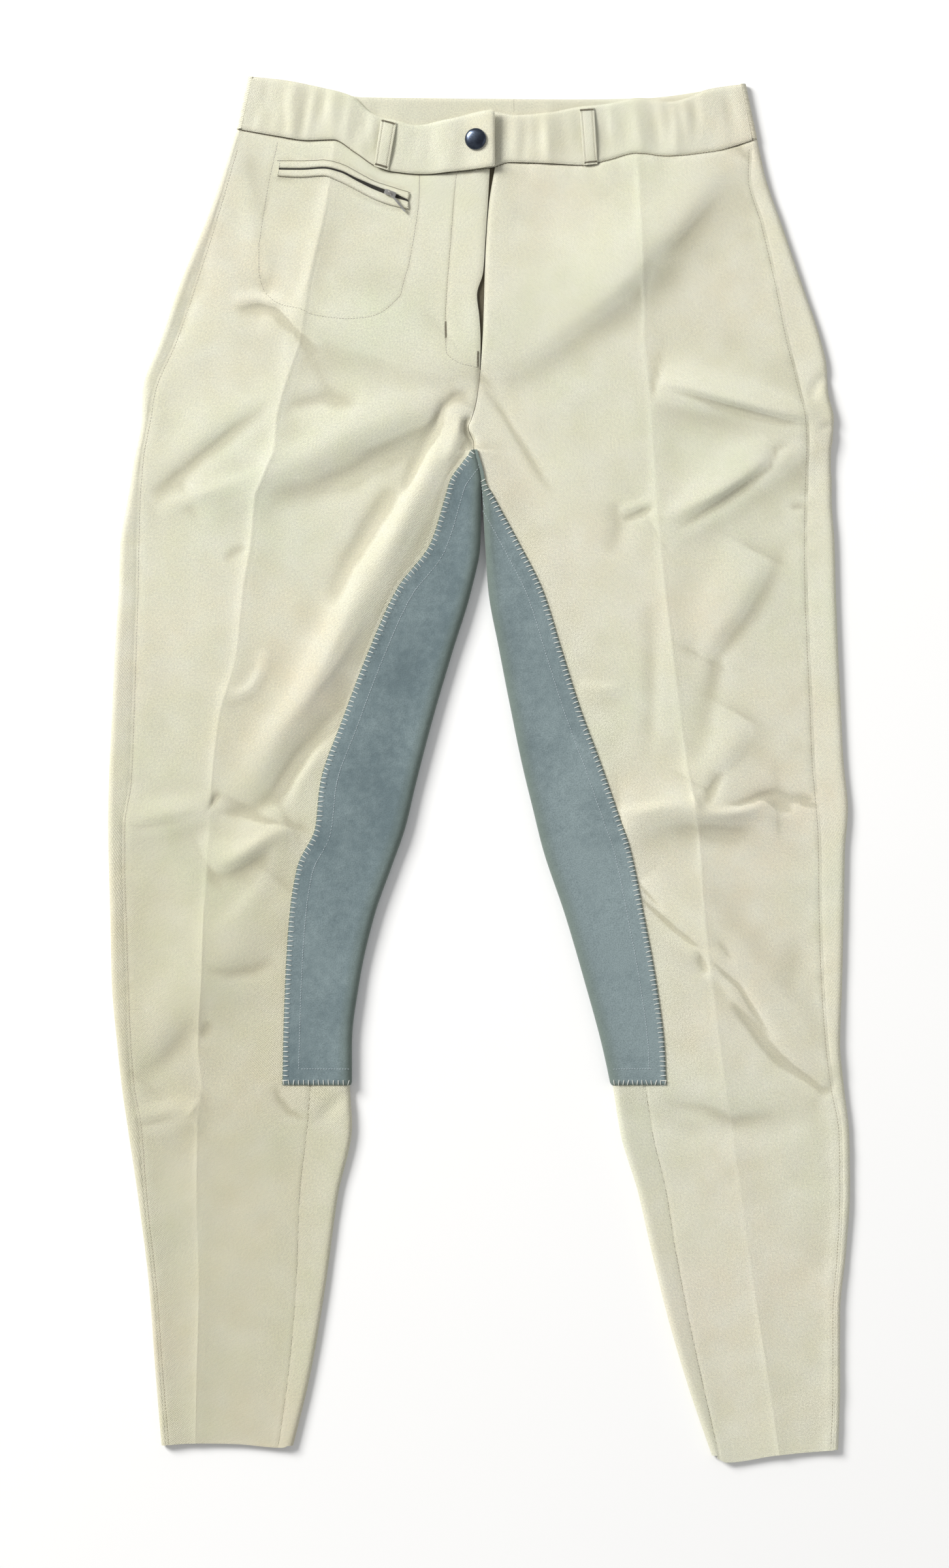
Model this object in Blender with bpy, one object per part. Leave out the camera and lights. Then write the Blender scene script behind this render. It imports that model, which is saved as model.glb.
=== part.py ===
"""Riding breeches laid flat on their back, for Blender 4.5.

The cloth is two layers that lie on each other: a front panel on top, and a wider back panel that lies
below it and rolls round both folds of the leg on to the top. A suede full seat wraps the inside of each
leg from the front, round the inner fold and on to the seat. Every piece is a thin closed wall.

The frame: millimetres in the tables, metres in the meshes. +Y runs from the hems to the waist, +Z is up
from the surface the breeches lie on, and the wearer's right leg is at -X. Objects are named by the
wearer's own right and left.
"""

import math
from typing import NamedTuple

import bmesh
import bpy
import numpy as np
from mathutils import Matrix, Vector
from mathutils.bvhtree import BVHTree

MM = 0.001

# ---- Cloth, mm ----
CLOTH = 1.2  # woven stretch twill
SUEDE = 1.2  # full-seat suede
BAND = 2.6  # waistband: two cloths, turned
GAP = 0.3  # between pieces that touch
UNDER_SUEDE = SUEDE + GAP  # how far the back cloth rides up over the suede
SUEDE_STEP = 7.0  # width over which it comes down again
BASE_TOP = 4.2  # outer face of the upper layer where it lies smooth
LOWEST_TOP = 2 * CLOTH + 2 * GAP  # the upper layer never sinks into the lower one
EDGE_RISE = 1.4  # a folded edge stands a little higher than the middle
EDGE_REACH = 12.0
FOLD_RADIUS = 4.0  # of the rolled edges, in plan
NARROWEST_STRIP = 3.5  # of back cloth that shows on top beside a seam
RADIUS_IN_STRIP = 0.85
CREASE_RISE = 1.3  # pressed crease down the front of each leg
CREASE_REACH = 9.0

# ---- Levels along the garment, mm ----
HEM = -480.0
PATCH_FOOT = -222.0  # lower edge of the suede
TONGUE_TOP_LEFT = 204.0  # the left suede leaves the inner fold here
CROTCH = 224.0
SEAT_TOP = 350.0  # upper edge of the suede on the seat
WAIST = 424.0  # waist seam at centre front
HEM_FADE = 60.0
WAIST_BEND = 64.0  # the rows bend to the waist seam over this length

# ---- Fly, mm ----
FLY_RISE = 1.5  # layers behind the fly lift the front
FLY_REACH = 26.0
FLY_FOOT = 280.0
UNDERLAP = 1.2
UNDERLAP_DEPTH = 0.7  # clear space between the front and the underlap
UNDERLAP_PAST_RIGHT = (17.0, 8.0, 1.0)  # its columns, from the edge of the right front
UNDERLAP_PAST_LEFT = (1.0, 9.0)  # and from the edge of the left front


class LegRow(NamedTuple):
    """Where the lines of one leg lie at one level, as x in mm."""

    y: float
    outer: float  # outer fold
    outseam: float  # seam of front to back, on top
    crease: float
    patch: float  # front edge of the suede
    inseam: float
    inner: float  # inner fold of the cloth


RIGHT_LEG = (
    LegRow(-480, -223.5, -220, -200, -150, -142, -132),
    LegRow(-426, -228, -225, -199, -145, -134.5, -119),
    LegRow(-365, -232.5, -229.5, -197.5, -141, -129, -108.5),
    LegRow(-300, -240.5, -236, -199, -140, -126.5, -99.5),
    LegRow(-250, -248, -240, -198.5, -139, -121, -89.5),
    LegRow(-222, -252, -245, -195.5, -138.5, -119, -91),
    LegRow(-194, -255, -247, -198, -138, -118.5, -91),
    LegRow(-148, -259, -249, -195.5, -136.5, -115.5, -85.5),
    LegRow(-102, -260, -250.5, -194, -133.5, -107.5, -75),
    LegRow(-68, -261, -251.5, -192, -128, -96, -63),
    LegRow(-41, -261.5, -251.5, -190, -115.5, -86.5, -53.5),
    LegRow(-10, -261, -247, -188.5, -112, -75, -46),
    LegRow(36, -259, -245, -183.5, -96, -59, -34),
    LegRow(82, -257, -243.5, -171, -78.5, -43, -20.5),
    LegRow(128, -254, -242, -166.5, -57.5, -20, -6.5),
    LegRow(159, -253, -241.5, -161, -34.5, -7, -0.5),
    LegRow(192, -247.5, -240.5, -158, -25, -3.5, 0.3),
    LegRow(204, -245.5, -239.5, -153, -19, -3.5, -0.5),
    LegRow(217, -243.5, -238.5, -148, -13.5, -4.5, -1.5),
    LegRow(224, -242, -237.5, -144.5, -8.5, -5, -2),
    LegRow(247, -238, -233, -142.5, -30, -4.5, 0),
    LegRow(266, -237.5, -230, -138, -28, -0.5, 0),
    LegRow(302, -225, -215, -126.5, -25, 0.5, 0),
    LegRow(344, -210.5, -200.5, -119.5, -23, 2, 0),
    LegRow(394, -190, -184.5, -108.5, -20, 6, 0),
    LegRow(451, -171, -168, -100.5, -18, 8, 0),
)

LEFT_LEG = (
    LegRow(-483, 253, 249.5, 211.5, 178, 169, 164),
    LegRow(-435, 254.5, 251, 204.5, 168, 158, 147.5),
    LegRow(-384, 254.5, 251, 196.5, 158, 147, 132.5),
    LegRow(-337, 259, 254.5, 189.5, 151, 138, 121),
    LegRow(-296, 261.5, 256, 184, 146, 131.5, 111.5),
    LegRow(-258, 261, 255.5, 178.5, 138, 122.5, 100),
    LegRow(-222, 257, 249.5, 173.5, 132, 117, 94),
    LegRow(-194, 254.5, 246, 169.5, 130.5, 113.5, 88),
    LegRow(-148, 256, 243, 163.5, 124.5, 102, 75.5),
    LegRow(-102, 257, 241.5, 158.5, 116, 88, 62),
    LegRow(-56, 258, 241, 155.5, 106.5, 72, 46.5),
    LegRow(-28, 260, 239.5, 152, 97, 60.5, 39.5),
    LegRow(5, 257, 236.5, 146, 85.5, 48, 31.5),
    LegRow(44, 255, 235, 141, 71, 36, 23.5),
    LegRow(85, 253, 233, 136, 58, 23.5, 15.5),
    LegRow(126, 251.5, 231.5, 131, 45, 13, 8),
    LegRow(161, 250.5, 231, 127.5, 27.5, 9, 5.5),
    LegRow(192, 248.5, 231.5, 124.5, 11, 7.5, 4),
    LegRow(204, 248.5, 232, 124, 9, 6.5, 3),
    LegRow(211, 248, 232, 123.5, 11, 5, 1.3),
    LegRow(224, 248, 232.5, 123, 16, 4, 0.3),
    LegRow(231, 249, 232.5, 122.5, 22, -3.5, 0),
    LegRow(247, 250, 231.5, 121.5, 24, -4, 0),
    LegRow(266, 246, 227, 119.5, 25, 0, 0),
    LegRow(284, 245, 223, 118, 25, 1, 0),
    LegRow(302, 241, 218.5, 116.5, 25, 2, 0),
    LegRow(344, 227, 210, 115.5, 26, 3.5, 0),
    LegRow(385, 213, 200.5, 114, 27, 5, 0),
    LegRow(417, 202, 191.5, 112, 28, 9, 0),
    LegRow(444, 196, 192.5, 110.5, 28, 11, 0),
)

# Centre front, mm: y, edge of the right front, edge of the left front. They part where the fly gapes.
CENTRE_FRONT = (
    (231, -4.0, -3.6),
    (241, -7.8, -7.4),
    (247, -5.5, -5.1),
    (260, -2.0, -1.6),
    (280, 0.5, 0.9),
    (302, 1.0, 2.4),
    (318, 0.2, 3.1),
    (334, -1.5, 3.6),
    (350, 2.8, 4.0),
    (375, 4.5, 5.2),
    (400, 6.2, 7.2),
    (424, 7.6, 11.2),
)

# Suede on the back, mm: y, width from the inner fold or the centre back seam.
SEAT_WIDTH = (
    (-222, 50), (-120, 58), (-40, 76), (60, 100), (150, 120), (224, 138),
    (300, 122), (330, 106), (350, 84), (424, 80),
)  # fmt: skip

# Waist seam on the front and on the back, mm: x, y.
WAIST_SEAM = (
    (-171, 451), (-142, 446), (-121, 443), (-103, 443.5), (-86.5, 434), (-73, 425), (-61, 421),
    (-38, 419), (-15, 421), (10, 424), (21.5, 427.5), (53, 426.5), (74, 425.5), (90, 429),
    (111, 434), (132, 432), (164, 435), (196, 444),
)  # fmt: skip
BACK_SEAM = ((-171, 451), (-120, 442), (-60, 438), (0, 437), (60, 437), (130, 438), (196, 444))

# Upper edge of the band on the front and on the back, mm: x, y.
FRONT_TOP = (
    (-161, 488), (-141, 486), (-112, 480.5), (-90, 474.5), (-75, 462), (-57, 457), (-45, 454),
    (-23, 457.5), (9.5, 463.5), (25, 461), (50, 463), (71, 467), (90, 469), (113, 473),
    (135, 470.5), (146, 473), (161, 479), (188, 483),
)  # fmt: skip
BACK_TOP = ((-163, 488), (-111, 480), (-82, 474), (0, 473), (60, 472.5), (111, 473), (188, 483))

# Hems, mm: x, y.
HEMS = ((-225, -476), (-199, -474.5), (-172, -475), (-140, -477.5), (-130, -476),
        (163, -483), (175, -488), (210, -483), (253, -479))  # fmt: skip


class Fold(NamedTuple):
    """A crease in the upper layer: its two ends, how far its middle bows to the left, and its profile."""

    name: str
    x0: float
    y0: float
    x1: float
    y1: float
    bow: float
    rise: float
    left: float  # width of the slope on the left, looking from the first end to the second
    right: float


FOLDS = (
    Fold("hip pull", 185, 434, 3, 276, 12, 6.5, 14, 45),
    Fold("seat line", 1, 274, -204, 188, 5, 4, 16, 34),
    Fold("thigh sweep", -10, 257, -170, -23, 4, 6, 15, 18),
    Fold("thigh gutter", -9, 265, -87, 142, -4, -1.5, 12, 12),
    Fold("pocket drag", 1, 276, -153, 326, -8, 3, 14, 26),
    Fold("hip dip", -107, 266, -239, 199, -11, 2.5, 16, 30),
    Fold("side tuck", 123, 268, 252, 241, 2, 5, 24, 10),
    Fold("below the side tuck", 248, 237, 127, 164, -5, 4, 13, 28),
    Fold("left knee", 100, -40, 210, -33, 8, 5, 26, 13),
    Fold("left calf twist", 111, -81, 244, -225, 6, 4, 20, 10),
    Fold("left patch foot", 102, -236, 240, -240, -13, -1.2, 12, 12),
    Fold("right knee", -188, -72, -133, -41, -2, 4, 20, 12),
    Fold("right knee line", -251, -39, -186, -25, -3, 2.5, 16, 8),
    Fold("right calf", -135, -84, -244, -213, -6, 3.5, 22, 34),
    Fold("right patch foot", -244, -250, -194, -236, -1, 2, 12, 10),
    Fold("left thigh", 201, 151, 162, 77, -5, 3, 16, 26),
    Fold("left thigh low", 185, 38, 157, -12, 6, 3, 12, 20),
)
FOLD_TAPER = 0.6

# ---- Columns of the sections ----
OUTSEAM_TO_CREASE = 5
CREASE_TO_PATCH = 5
PATCH_TO_INSEAM = 2
PATCH_COLUMN = OUTSEAM_TO_CREASE + CREASE_TO_PATCH
ROLL_ANGLES = (90, 45, 0, -45, -90)  # round a folded edge, from the top to the underside
BACK_FIRST_BELOW = len(ROLL_ANGLES)  # first back column that lies on the underside
SUEDE_EDGE_COLUMN = BACK_FIRST_BELOW + 2
UNDERSIDE_COLUMNS = 2  # past the suede, before the outer fold

# ---- Band, mm ----
BAND_SIDES = ((-171, -163), (196, 188))  # x of each side fold, at its foot and at its head
BAND_FOLD = 3.5  # plan radius of its side folds
BAND_UNDER = BAND + 0.6  # underside of its upper layer
BAND_ROWS = 4
TAB_UNDERLAP = -20.0  # the left band runs on under the right one to here
TAB_STEP = 23.0  # length over which the right band climbs on to it
TAB_LIFT = 6.0  # the free end of the tab stands up
TAB_LIFT_FROM = -14.0
TAB_END = ((424, 11.0), (464, 9.6))  # y, x
PUCKERS = (-135, -121, -107, -94, 28, 37, 49, 132, 142)  # x of the gathers over the elastic
PUCKER_RISE = 0.8
PUCKER_WIDTH = 4.0
PUCKER_FROM, PUCKER_TO = 0.15, 0.85  # where the gathers stand between the band's edges, in half waves

# ---- Small pieces, mm ----
LOOP_THICK = 1.0
LOOP_BOW = 1.3
LOOP_ROWS = 8
# Corners of the belt loops, x and y: two of the foot, then two of the head.
RIGHT_LOOP = ((-73.5, 426.5), (-63.5, 423.5), (-69, 457.5), (-58, 455.0))
LEFT_LOOP = ((73.5, 428.0), (83.5, 429.0), (70.5, 465.5), (81.0, 466.0))
SNAP_AT = (-2.4, 443.0)
SNAP_RADIUS = 7.6
SNAP_HEIGHT = 3.0
SNAP_RIM = 0.7  # height of the cap's upright edge
SNAP_SEAT = 0.8  # part of its radius at which the tab's slope is read
DOME_STEPS = 5
TURN_STEPS = 24
STUD_RADIUS = 5.0
STUD_WAIST = 0.5  # part of the stud's height that is straight
STUD_HEAD = 0.6  # part of its radius at the top
WELT_THICK = 1.0


class PocketRow(NamedTuple):
    """One section of the welt pocket: the edges of its two welts and the zip line between them."""

    x_top: float
    y_top: float
    x_zip: float
    y_zip: float
    x_low: float
    y_low: float
    half_open: float


POCKET = (
    PocketRow(-141.5, 428.5, -141, 423, -142, 418, 0.8),
    PocketRow(-125, 428.3, -125, 422.8, -126, 417.2, 0.8),
    PocketRow(-110, 428.8, -110, 423.6, -110, 418, 0.9),
    PocketRow(-97, 426, -98, 421.2, -99, 414.5, 1.1),
    PocketRow(-85, 420, -86, 415.4, -87, 408.6, 1.6),
    PocketRow(-73, 413.8, -74, 409.9, -75.5, 402.6, 2.3),
    PocketRow(-61, 409.8, -62, 405.3, -63.5, 398, 2.5),
    PocketRow(-49, 406, -50, 400.6, -49.5, 394.5, 1.0),
)
POCKET_SECTIONS = 18
ZIP_TAPE_THICK = 0.6
SLIDER_LENGTH = 8.4
SLIDER_WIDTH = 3.6
SLIDER_HEIGHT = 2.2
SLIDER_CORNER = 0.9
SLIDER_AT = (-62.6, 405.6)
ARCH_RADIUS = 1.45
ARCH_THICK = 0.35
ARCH_SUNK = 0.5  # its ends run this far into the slider
PULL_BAR = 0.5  # half the side of the bar that turns under the arch
PULL_HEADING = -51.0  # degrees from +X
PULL_END_RISE = 2.4  # the pull rests on the edge of the lower welt


class PullRow(NamedTuple):
    """One section of the zip's pull."""

    along: float  # from the pivot
    half_wide: float
    half_inside: float  # of the middle strip, which is cut out at the eye
    half_thick: float


PULL = (
    PullRow(-0.5, 1.45, 0.85, 0.5),
    PullRow(0.6, 1.45, 0.85, 0.5),
    PullRow(2.4, 1.45, 0.85, 0.5),
    PullRow(3.4, 1.1, 0.5, 0.5),
    PullRow(4.9, 0.65, 0.3, 0.5),
    PullRow(14.8, 0.65, 0.3, 1.0),
    PullRow(16.8, 0.5, 0.25, 0.7),
)
PULL_EYE_CELL = (1, 1)  # row and column of the cell that the arch passes through

COLOURS = {  # name: base colour (linear), roughness, metallic
    "cream twill": ((0.70, 0.66, 0.52, 1), 0.85, 0.0),
    "grey suede": ((0.20, 0.25, 0.26, 1), 0.95, 0.0),
    "gunmetal": ((0.08, 0.09, 0.11, 1), 0.3, 1.0),
    "nickel": ((0.62, 0.61, 0.58, 1), 0.3, 1.0),
    "black zip tape": ((0.02, 0.02, 0.02, 1), 0.9, 0.0),
}


# ---- Curves and small sums ----


def curve(points):
    """A smooth function through (position, value) pairs that never overshoots them, level past its ends."""
    at, value = np.array(sorted(points), float).T
    step = np.diff(at)
    secant = np.diff(value) / step
    slope = np.zeros(len(at))
    turns = secant[:-1] * secant[1:] <= 0
    mean = 2 * secant[:-1] * secant[1:] / np.where(turns, 1, secant[:-1] + secant[1:])
    slope[1:-1] = np.where(turns, 0, mean)
    slope[0], slope[-1] = secant[0], secant[-1]

    def read(where):
        where = min(max(where, at[0]), at[-1])
        k = min(max(int(np.searchsorted(at, where)) - 1, 0), len(step) - 1)
        t = (where - at[k]) / step[k]
        rest = 1 - t
        return (
            value[k] * (1 + 2 * t) * rest**2
            + value[k + 1] * (1 + 2 * rest) * t**2
            + step[k] * t * rest * (slope[k] * rest - slope[k + 1] * t)
        )

    return read


def eased(t):
    """0 to 1 with level ends."""
    t = min(max(t, 0.0), 1.0)
    return t * t * (3 - 2 * t)


def mix(a, b, t):
    return a + (b - a) * t


def between(first, second, t):
    """The line that runs t of the way from one line to another. A line gives x at a level."""
    return lambda y: mix(first(y), second(y), t)


def spread(first, last, pitch):
    """Even levels from first up to, and without, last."""
    count = max(1, round((last - first) / pitch))
    return [mix(first, last, k / count) for k in range(count)]


STATIONS = (
    spread(HEM, PATCH_FOOT - SUEDE_STEP, 28)
    + [PATCH_FOOT - SUEDE_STEP]
    + spread(PATCH_FOOT, TONGUE_TOP_LEFT, 20)
    + spread(TONGUE_TOP_LEFT, CROTCH, 7)
    + [CROTCH]
    + spread(CROTCH + SUEDE_STEP, SEAT_TOP, 17)
    + [SEAT_TOP]
    + spread(SEAT_TOP + SUEDE_STEP, WAIST, 17)
    + [WAIST]
)

waist_seam = curve(WAIST_SEAM)
back_seam = curve(BACK_SEAM)
hems = curve(HEMS)
front_top = curve(FRONT_TOP)
back_top = curve(BACK_TOP)
seat_width = curve(SEAT_WIDTH)
tab_end = curve(TAB_END)


def suede_lift(y):
    """1 over the suede's own length, 0 past its ends."""
    return min(
        eased((y - PATCH_FOOT + SUEDE_STEP) / SUEDE_STEP),
        eased((SEAT_TOP + SUEDE_STEP - y) / SUEDE_STEP),
    )


def row_level(station, x, seam):
    """The level that a row takes at x: bent to the waist seam at its top end and to the hem at the other."""
    to_waist = eased((station - WAIST + WAIST_BEND) / WAIST_BEND)
    to_hem = eased((HEM + HEM_FADE - station) / HEM_FADE)
    return station + to_waist * (seam(x) - WAIST) + to_hem * (hems(x) - HEM)


def folds_at(x, y):
    """How far the creases lift the upper layer at a point."""
    total = 0.0
    for fold in FOLDS:
        along = Vector((fold.x1 - fold.x0, fold.y1 - fold.y0))
        length = along.length
        along /= length
        offset = Vector((x - fold.x0, y - fold.y0))
        t = offset.dot(along) / length
        if not 0 < t < 1:
            continue
        aside = along.x * offset.y - along.y * offset.x - fold.bow * 4 * t * (1 - t)
        width = fold.left if aside > 0 else fold.right
        total += fold.rise * math.sin(math.pi * t) ** FOLD_TAPER * math.exp(-((aside / width) ** 2))
    return total


# ---- The two legs ----


class Leg:
    """The sections of one leg and its half of the body, worked out from the leg's table."""

    def __init__(self, name, out, rows, centre_edges):
        self.name = name
        self.out = out  # which way is outwards along X
        self.lines = {
            line: curve([(row.y, getattr(row, line)) for row in rows]) for line in LegRow._fields[1:]
        }
        self.centre_front = curve(centre_edges)

    def outer(self, y):
        return self.lines["outer"](y)

    def inner(self, y):
        """The inner fold, or the centre back seam above the crotch."""
        return self.lines["inner"](y) if y <= CROTCH else self.out * GAP / 2

    def outseam(self, y):
        strip = self.out * (self.outer(y) - self.lines["outseam"](y))
        return self.outer(y) - self.out * max(strip, NARROWEST_STRIP)

    def front_edge(self, y):
        """The inseam, or the centre front above the crotch."""
        if y > CROTCH:
            return self.centre_front(y)
        strip = self.out * (self.lines["inseam"](y) - self.inner(y))
        return self.inner(y) + self.out * max(strip, NARROWEST_STRIP)

    def suede_edge(self, y):
        """The edge of the suede on the underside."""
        return self.inner(y) + self.out * seat_width(y)

    def past_suede(self, y):
        return self.suede_edge(y) + self.out * SUEDE_STEP

    def first_below(self, y):
        """Where the flat underside starts, beside the inner fold or the centre back seam."""
        return self.inner(y) + (self.out * self.inner_radius(y) if y <= CROTCH else 0)

    def last_below(self, y):
        """Where the flat underside ends, beside the outer fold."""
        return self.outer(y) - self.out * self.outer_radius(y)

    def outer_radius(self, y):
        return min(FOLD_RADIUS, RADIUS_IN_STRIP * abs(self.outer(y) - self.outseam(y)))

    def inner_radius(self, y):
        return min(FOLD_RADIUS, RADIUS_IN_STRIP * abs(self.front_edge(y) - self.inner(y)))

    def top(self, x, y):
        """Height of the outer face of the upper layer."""
        from_outer = abs(self.outer(y) - x)
        from_inner = abs(x - self.inner(y))
        towards_inner = min(1.0, from_outer / max(from_outer + from_inner, 1.0) * 1.5)
        height = BASE_TOP + folds_at(x, y)
        height += EDGE_RISE * math.exp(-((from_outer / EDGE_REACH) ** 2))
        if y <= CROTCH:
            height += EDGE_RISE * math.exp(-((from_inner / EDGE_REACH) ** 2))
        height += CREASE_RISE * math.exp(-abs(x - self.lines["crease"](y)) / CREASE_REACH)
        fly = eased((y - FLY_FOOT + SUEDE_STEP) / SUEDE_STEP / 2)
        height += fly * FLY_RISE * math.exp(-((x / FLY_REACH) ** 2))
        return max(height, LOWEST_TOP) + UNDER_SUEDE * suede_lift(y) * eased(towards_inner)

    def top_normal(self, x, y):
        step = 1.0
        slope_x = (self.top(x + step, y) - self.top(x - step, y)) / (2 * step)
        slope_y = (self.top(x, y + step) - self.top(x, y - step)) / (2 * step)
        return Vector((-slope_x, -slope_y, 1)).normalized()

    def settle(self, line, station, seam):
        """The x and y where a line of the leg meets the bent row of a station."""
        x, y = line(station), station
        for _ in range(4):
            y = row_level(station, x, seam)
            x = line(y)
        return x, y

    def on_top(self, line, station, shift=0.0):
        """A point and normal of the upper layer, moved sideways by shift."""
        x, y = self.settle(line, station, waist_seam)
        return Vector((x + shift, y, self.top(x, y))), self.top_normal(x, y)

    def roll(self, station, edge, radius, inwards):
        """Points and normals round a folded edge, from the top to the underside."""
        x, y = self.settle(edge, station, waist_seam)
        wide = radius(y)
        low = UNDER_SUEDE * suede_lift(station) if edge == self.inner else 0.0
        high = self.top(x + inwards * wide, y)
        middle, tall = (high + low) / 2, (high - low) / 2
        found = []
        for degrees in ROLL_ANGLES:
            turn = math.radians(degrees)
            point = Vector((x + inwards * wide * (1 - math.cos(turn)), y, middle + tall * math.sin(turn)))
            normal = Vector((-inwards * math.cos(turn) / wide, 0, math.sin(turn) / tall)).normalized()
            found.append((point, normal))
        return found

    def underside(self, station, line, height):
        x, y = self.settle(line, station, back_seam)
        return Vector((x, y, height * suede_lift(station))), Vector((0, 0, -1))

    def front_row(self, station):
        """The front panel's columns, from the outseam to the inseam or centre front."""
        stops = (
            (self.outseam, self.lines["crease"], OUTSEAM_TO_CREASE),
            (self.lines["crease"], self.lines["patch"], CREASE_TO_PATCH),
            (self.lines["patch"], self.front_edge, PATCH_TO_INSEAM),
        )
        row = []
        for start, end, count in stops:
            for k in range(count):
                shift = self.out * -GAP / 2 if not row else 0.0
                row.append(self.on_top(between(start, end, k / count), station, shift))
        shift = self.out * GAP / 2 if station <= CROTCH else 0.0
        row.append(self.on_top(self.front_edge, station, shift))
        return row

    def back_row(self, station):
        """The back panel's columns: inseam, inner fold, underside, outer fold, outseam."""
        if station <= CROTCH:
            row = [self.on_top(self.front_edge, station, self.out * -GAP / 2)]
            row += self.roll(station, self.inner, self.inner_radius, self.out)
        else:
            start = self.underside(station, self.inner, UNDER_SUEDE)
            row = [start] * (BACK_FIRST_BELOW + 1)
        half_way = between(self.first_below, self.suede_edge, 0.5)
        row.append(self.underside(station, half_way, UNDER_SUEDE))
        row.append(self.underside(station, self.suede_edge, UNDER_SUEDE))
        for k in range(UNDERSIDE_COLUMNS):
            line = between(self.past_suede, self.last_below, k / UNDERSIDE_COLUMNS)
            row.append(self.underside(station, line, 0.0))
        row += reversed(self.roll(station, self.outer, self.outer_radius, -self.out))
        row.append(self.on_top(self.outseam, station, self.out * GAP / 2))
        return row


RIGHT = Leg("right", -1, RIGHT_LEG, [(y, right) for y, right, _ in CENTRE_FRONT])
LEFT = Leg("left", 1, LEFT_LEG, [(y, left) for y, _, left in CENTRE_FRONT])
LEGS = (RIGHT, LEFT)


# ---- Meshes ----


def material(name):
    found = bpy.data.materials.get(name)
    if found:
        return found
    colour, roughness, metallic = COLOURS[name]
    found = bpy.data.materials.new(name)
    found.use_nodes = True
    shader = found.node_tree.nodes["Principled BSDF"]
    shader.inputs["Base Color"].default_value = colour
    shader.inputs["Roughness"].default_value = roughness
    shader.inputs["Metallic"].default_value = metallic
    return found


def add_object(name, bm, finish, smooth=True):
    """Closes a bmesh into a named object of the scene."""
    bmesh.ops.recalc_face_normals(bm, faces=bm.faces)
    mesh = bpy.data.meshes.new(name)
    bm.to_mesh(mesh)
    bm.free()
    mesh.materials.append(material(finish))
    if smooth:
        mesh.shade_smooth()
        mesh.set_sharp_from_angle(angle=math.radians(50))
    made = bpy.data.objects.new(name, mesh)
    bpy.context.scene.collection.objects.link(made)
    return made


def wall(name, outer, inner, finish, present=None):
    """A closed wall between two grids of points, in mm. present(row, column) leaves cells out."""
    rows, columns = len(outer), len(outer[0])
    bm = bmesh.new()
    bmesh.ops.create_grid(bm, x_segments=columns - 1, y_segments=rows - 1, size=1)
    bm.verts.ensure_lookup_table()
    key = bm.verts.layers.int.new("key")
    for index, vert in enumerate(bm.verts):
        vert[key] = index
        vert.co = inner[index // columns][index % columns] * MM
    if present:
        cells = [min(vert[key] for vert in face.verts) for face in bm.faces]
        lost = [f for f, cell in zip(bm.faces, cells) if not present(cell // columns, cell % columns)]
        bmesh.ops.delete(bm, geom=lost, context="FACES")
    bmesh.ops.triangulate(bm, faces=bm.faces[:], quad_method="FIXED")
    moved = bmesh.ops.extrude_face_region(bm, geom=bm.faces[:])["geom"]
    for vert in moved:
        if isinstance(vert, bmesh.types.BMVert):
            vert.co = outer[vert[key] // columns][vert[key] % columns] * MM
    return add_object(name, bm, finish)


def thickened(name, rows, finish, near, far, present=None):
    """A wall from near to far along the normals of rows of (point, normal) pairs."""
    shifted = [[[point + normal * way for point, normal in row] for row in rows] for way in (near, far)]
    return wall(name, shifted[1], shifted[0], finish, present)


def height_over(made):
    """A function that gives the height in mm of an object's own faces over a point of the floor."""
    mesh = made.data
    tree = BVHTree.FromPolygons([v.co for v in mesh.vertices], [p.vertices for p in mesh.polygons])

    def read(x, y):
        hit = tree.ray_cast(Vector((x * MM, y * MM, 1)), Vector((0, 0, -1)))[0]
        return hit.z / MM

    return read


# ---- Body ----


def below_or_whole(row, column):
    """Cells of a back panel: the inner roll ends at the crotch, and the underside runs on."""
    return column >= BACK_FIRST_BELOW or STATIONS[row] < CROTCH


class Side(NamedTuple):
    """One side's front panel, and the points along the waist edge of its front and of its back."""

    front: bpy.types.Object
    front_edge: list
    back_edge: list


def build_body(leg):
    """The front and back panels and the suede of one side."""
    fronts = [leg.front_row(station) for station in STATIONS]
    backs = [leg.back_row(station) for station in STATIONS]
    panel = thickened(f"front_{leg.name}", fronts, "cream twill", -CLOTH, 0)
    thickened(f"back_{leg.name}", backs, "cream twill", -CLOTH, 0, below_or_whole)

    first, last = STATIONS.index(PATCH_FOOT), STATIONS.index(SEAT_TOP)
    tongue_top = TONGUE_TOP_LEFT if leg is LEFT else CROTCH
    tongue = PATCH_TO_INSEAM + BACK_FIRST_BELOW  # cells before the underside
    rows = []
    for front, back in zip(fronts[first : last + 1], backs[first : last + 1]):
        over_seam = (front[-1][0] - Vector((leg.out * GAP / 2, 0, 0)), front[-1][1])
        rows.append(front[PATCH_COLUMN:-1] + [over_seam] + back[1 : SUEDE_EDGE_COLUMN + 1])

    def present(row, column):
        return column >= tongue - 1 or STATIONS[first + row] < tongue_top

    thickened(f"suede_{leg.name}", rows, "grey suede", GAP, GAP + SUEDE, present)
    return Side(panel, [point for point, _ in fronts[-1]], [point for point, _ in backs[-1]])


def build_underlap():
    """The fly shield behind the opening of the fly, hung under both fronts."""
    rows = []
    for station in [s for s in STATIONS if s >= FLY_FOOT]:
        right, left = RIGHT.centre_front(station), LEFT.centre_front(station)
        columns = [(right - past, RIGHT) for past in UNDERLAP_PAST_RIGHT]
        columns += [(left + past, LEFT) for past in UNDERLAP_PAST_LEFT]
        row = []
        for x, leg in columns:
            y = row_level(station, x, waist_seam)
            row.append((Vector((x, y, leg.top(x, y))), leg.top_normal(x, y)))
        rows.append(row)
    near = -CLOTH - UNDERLAP_DEPTH
    thickened("fly_underlap", rows, "cream twill", near, near - UNDERLAP)


# ---- Waistband ----


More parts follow.
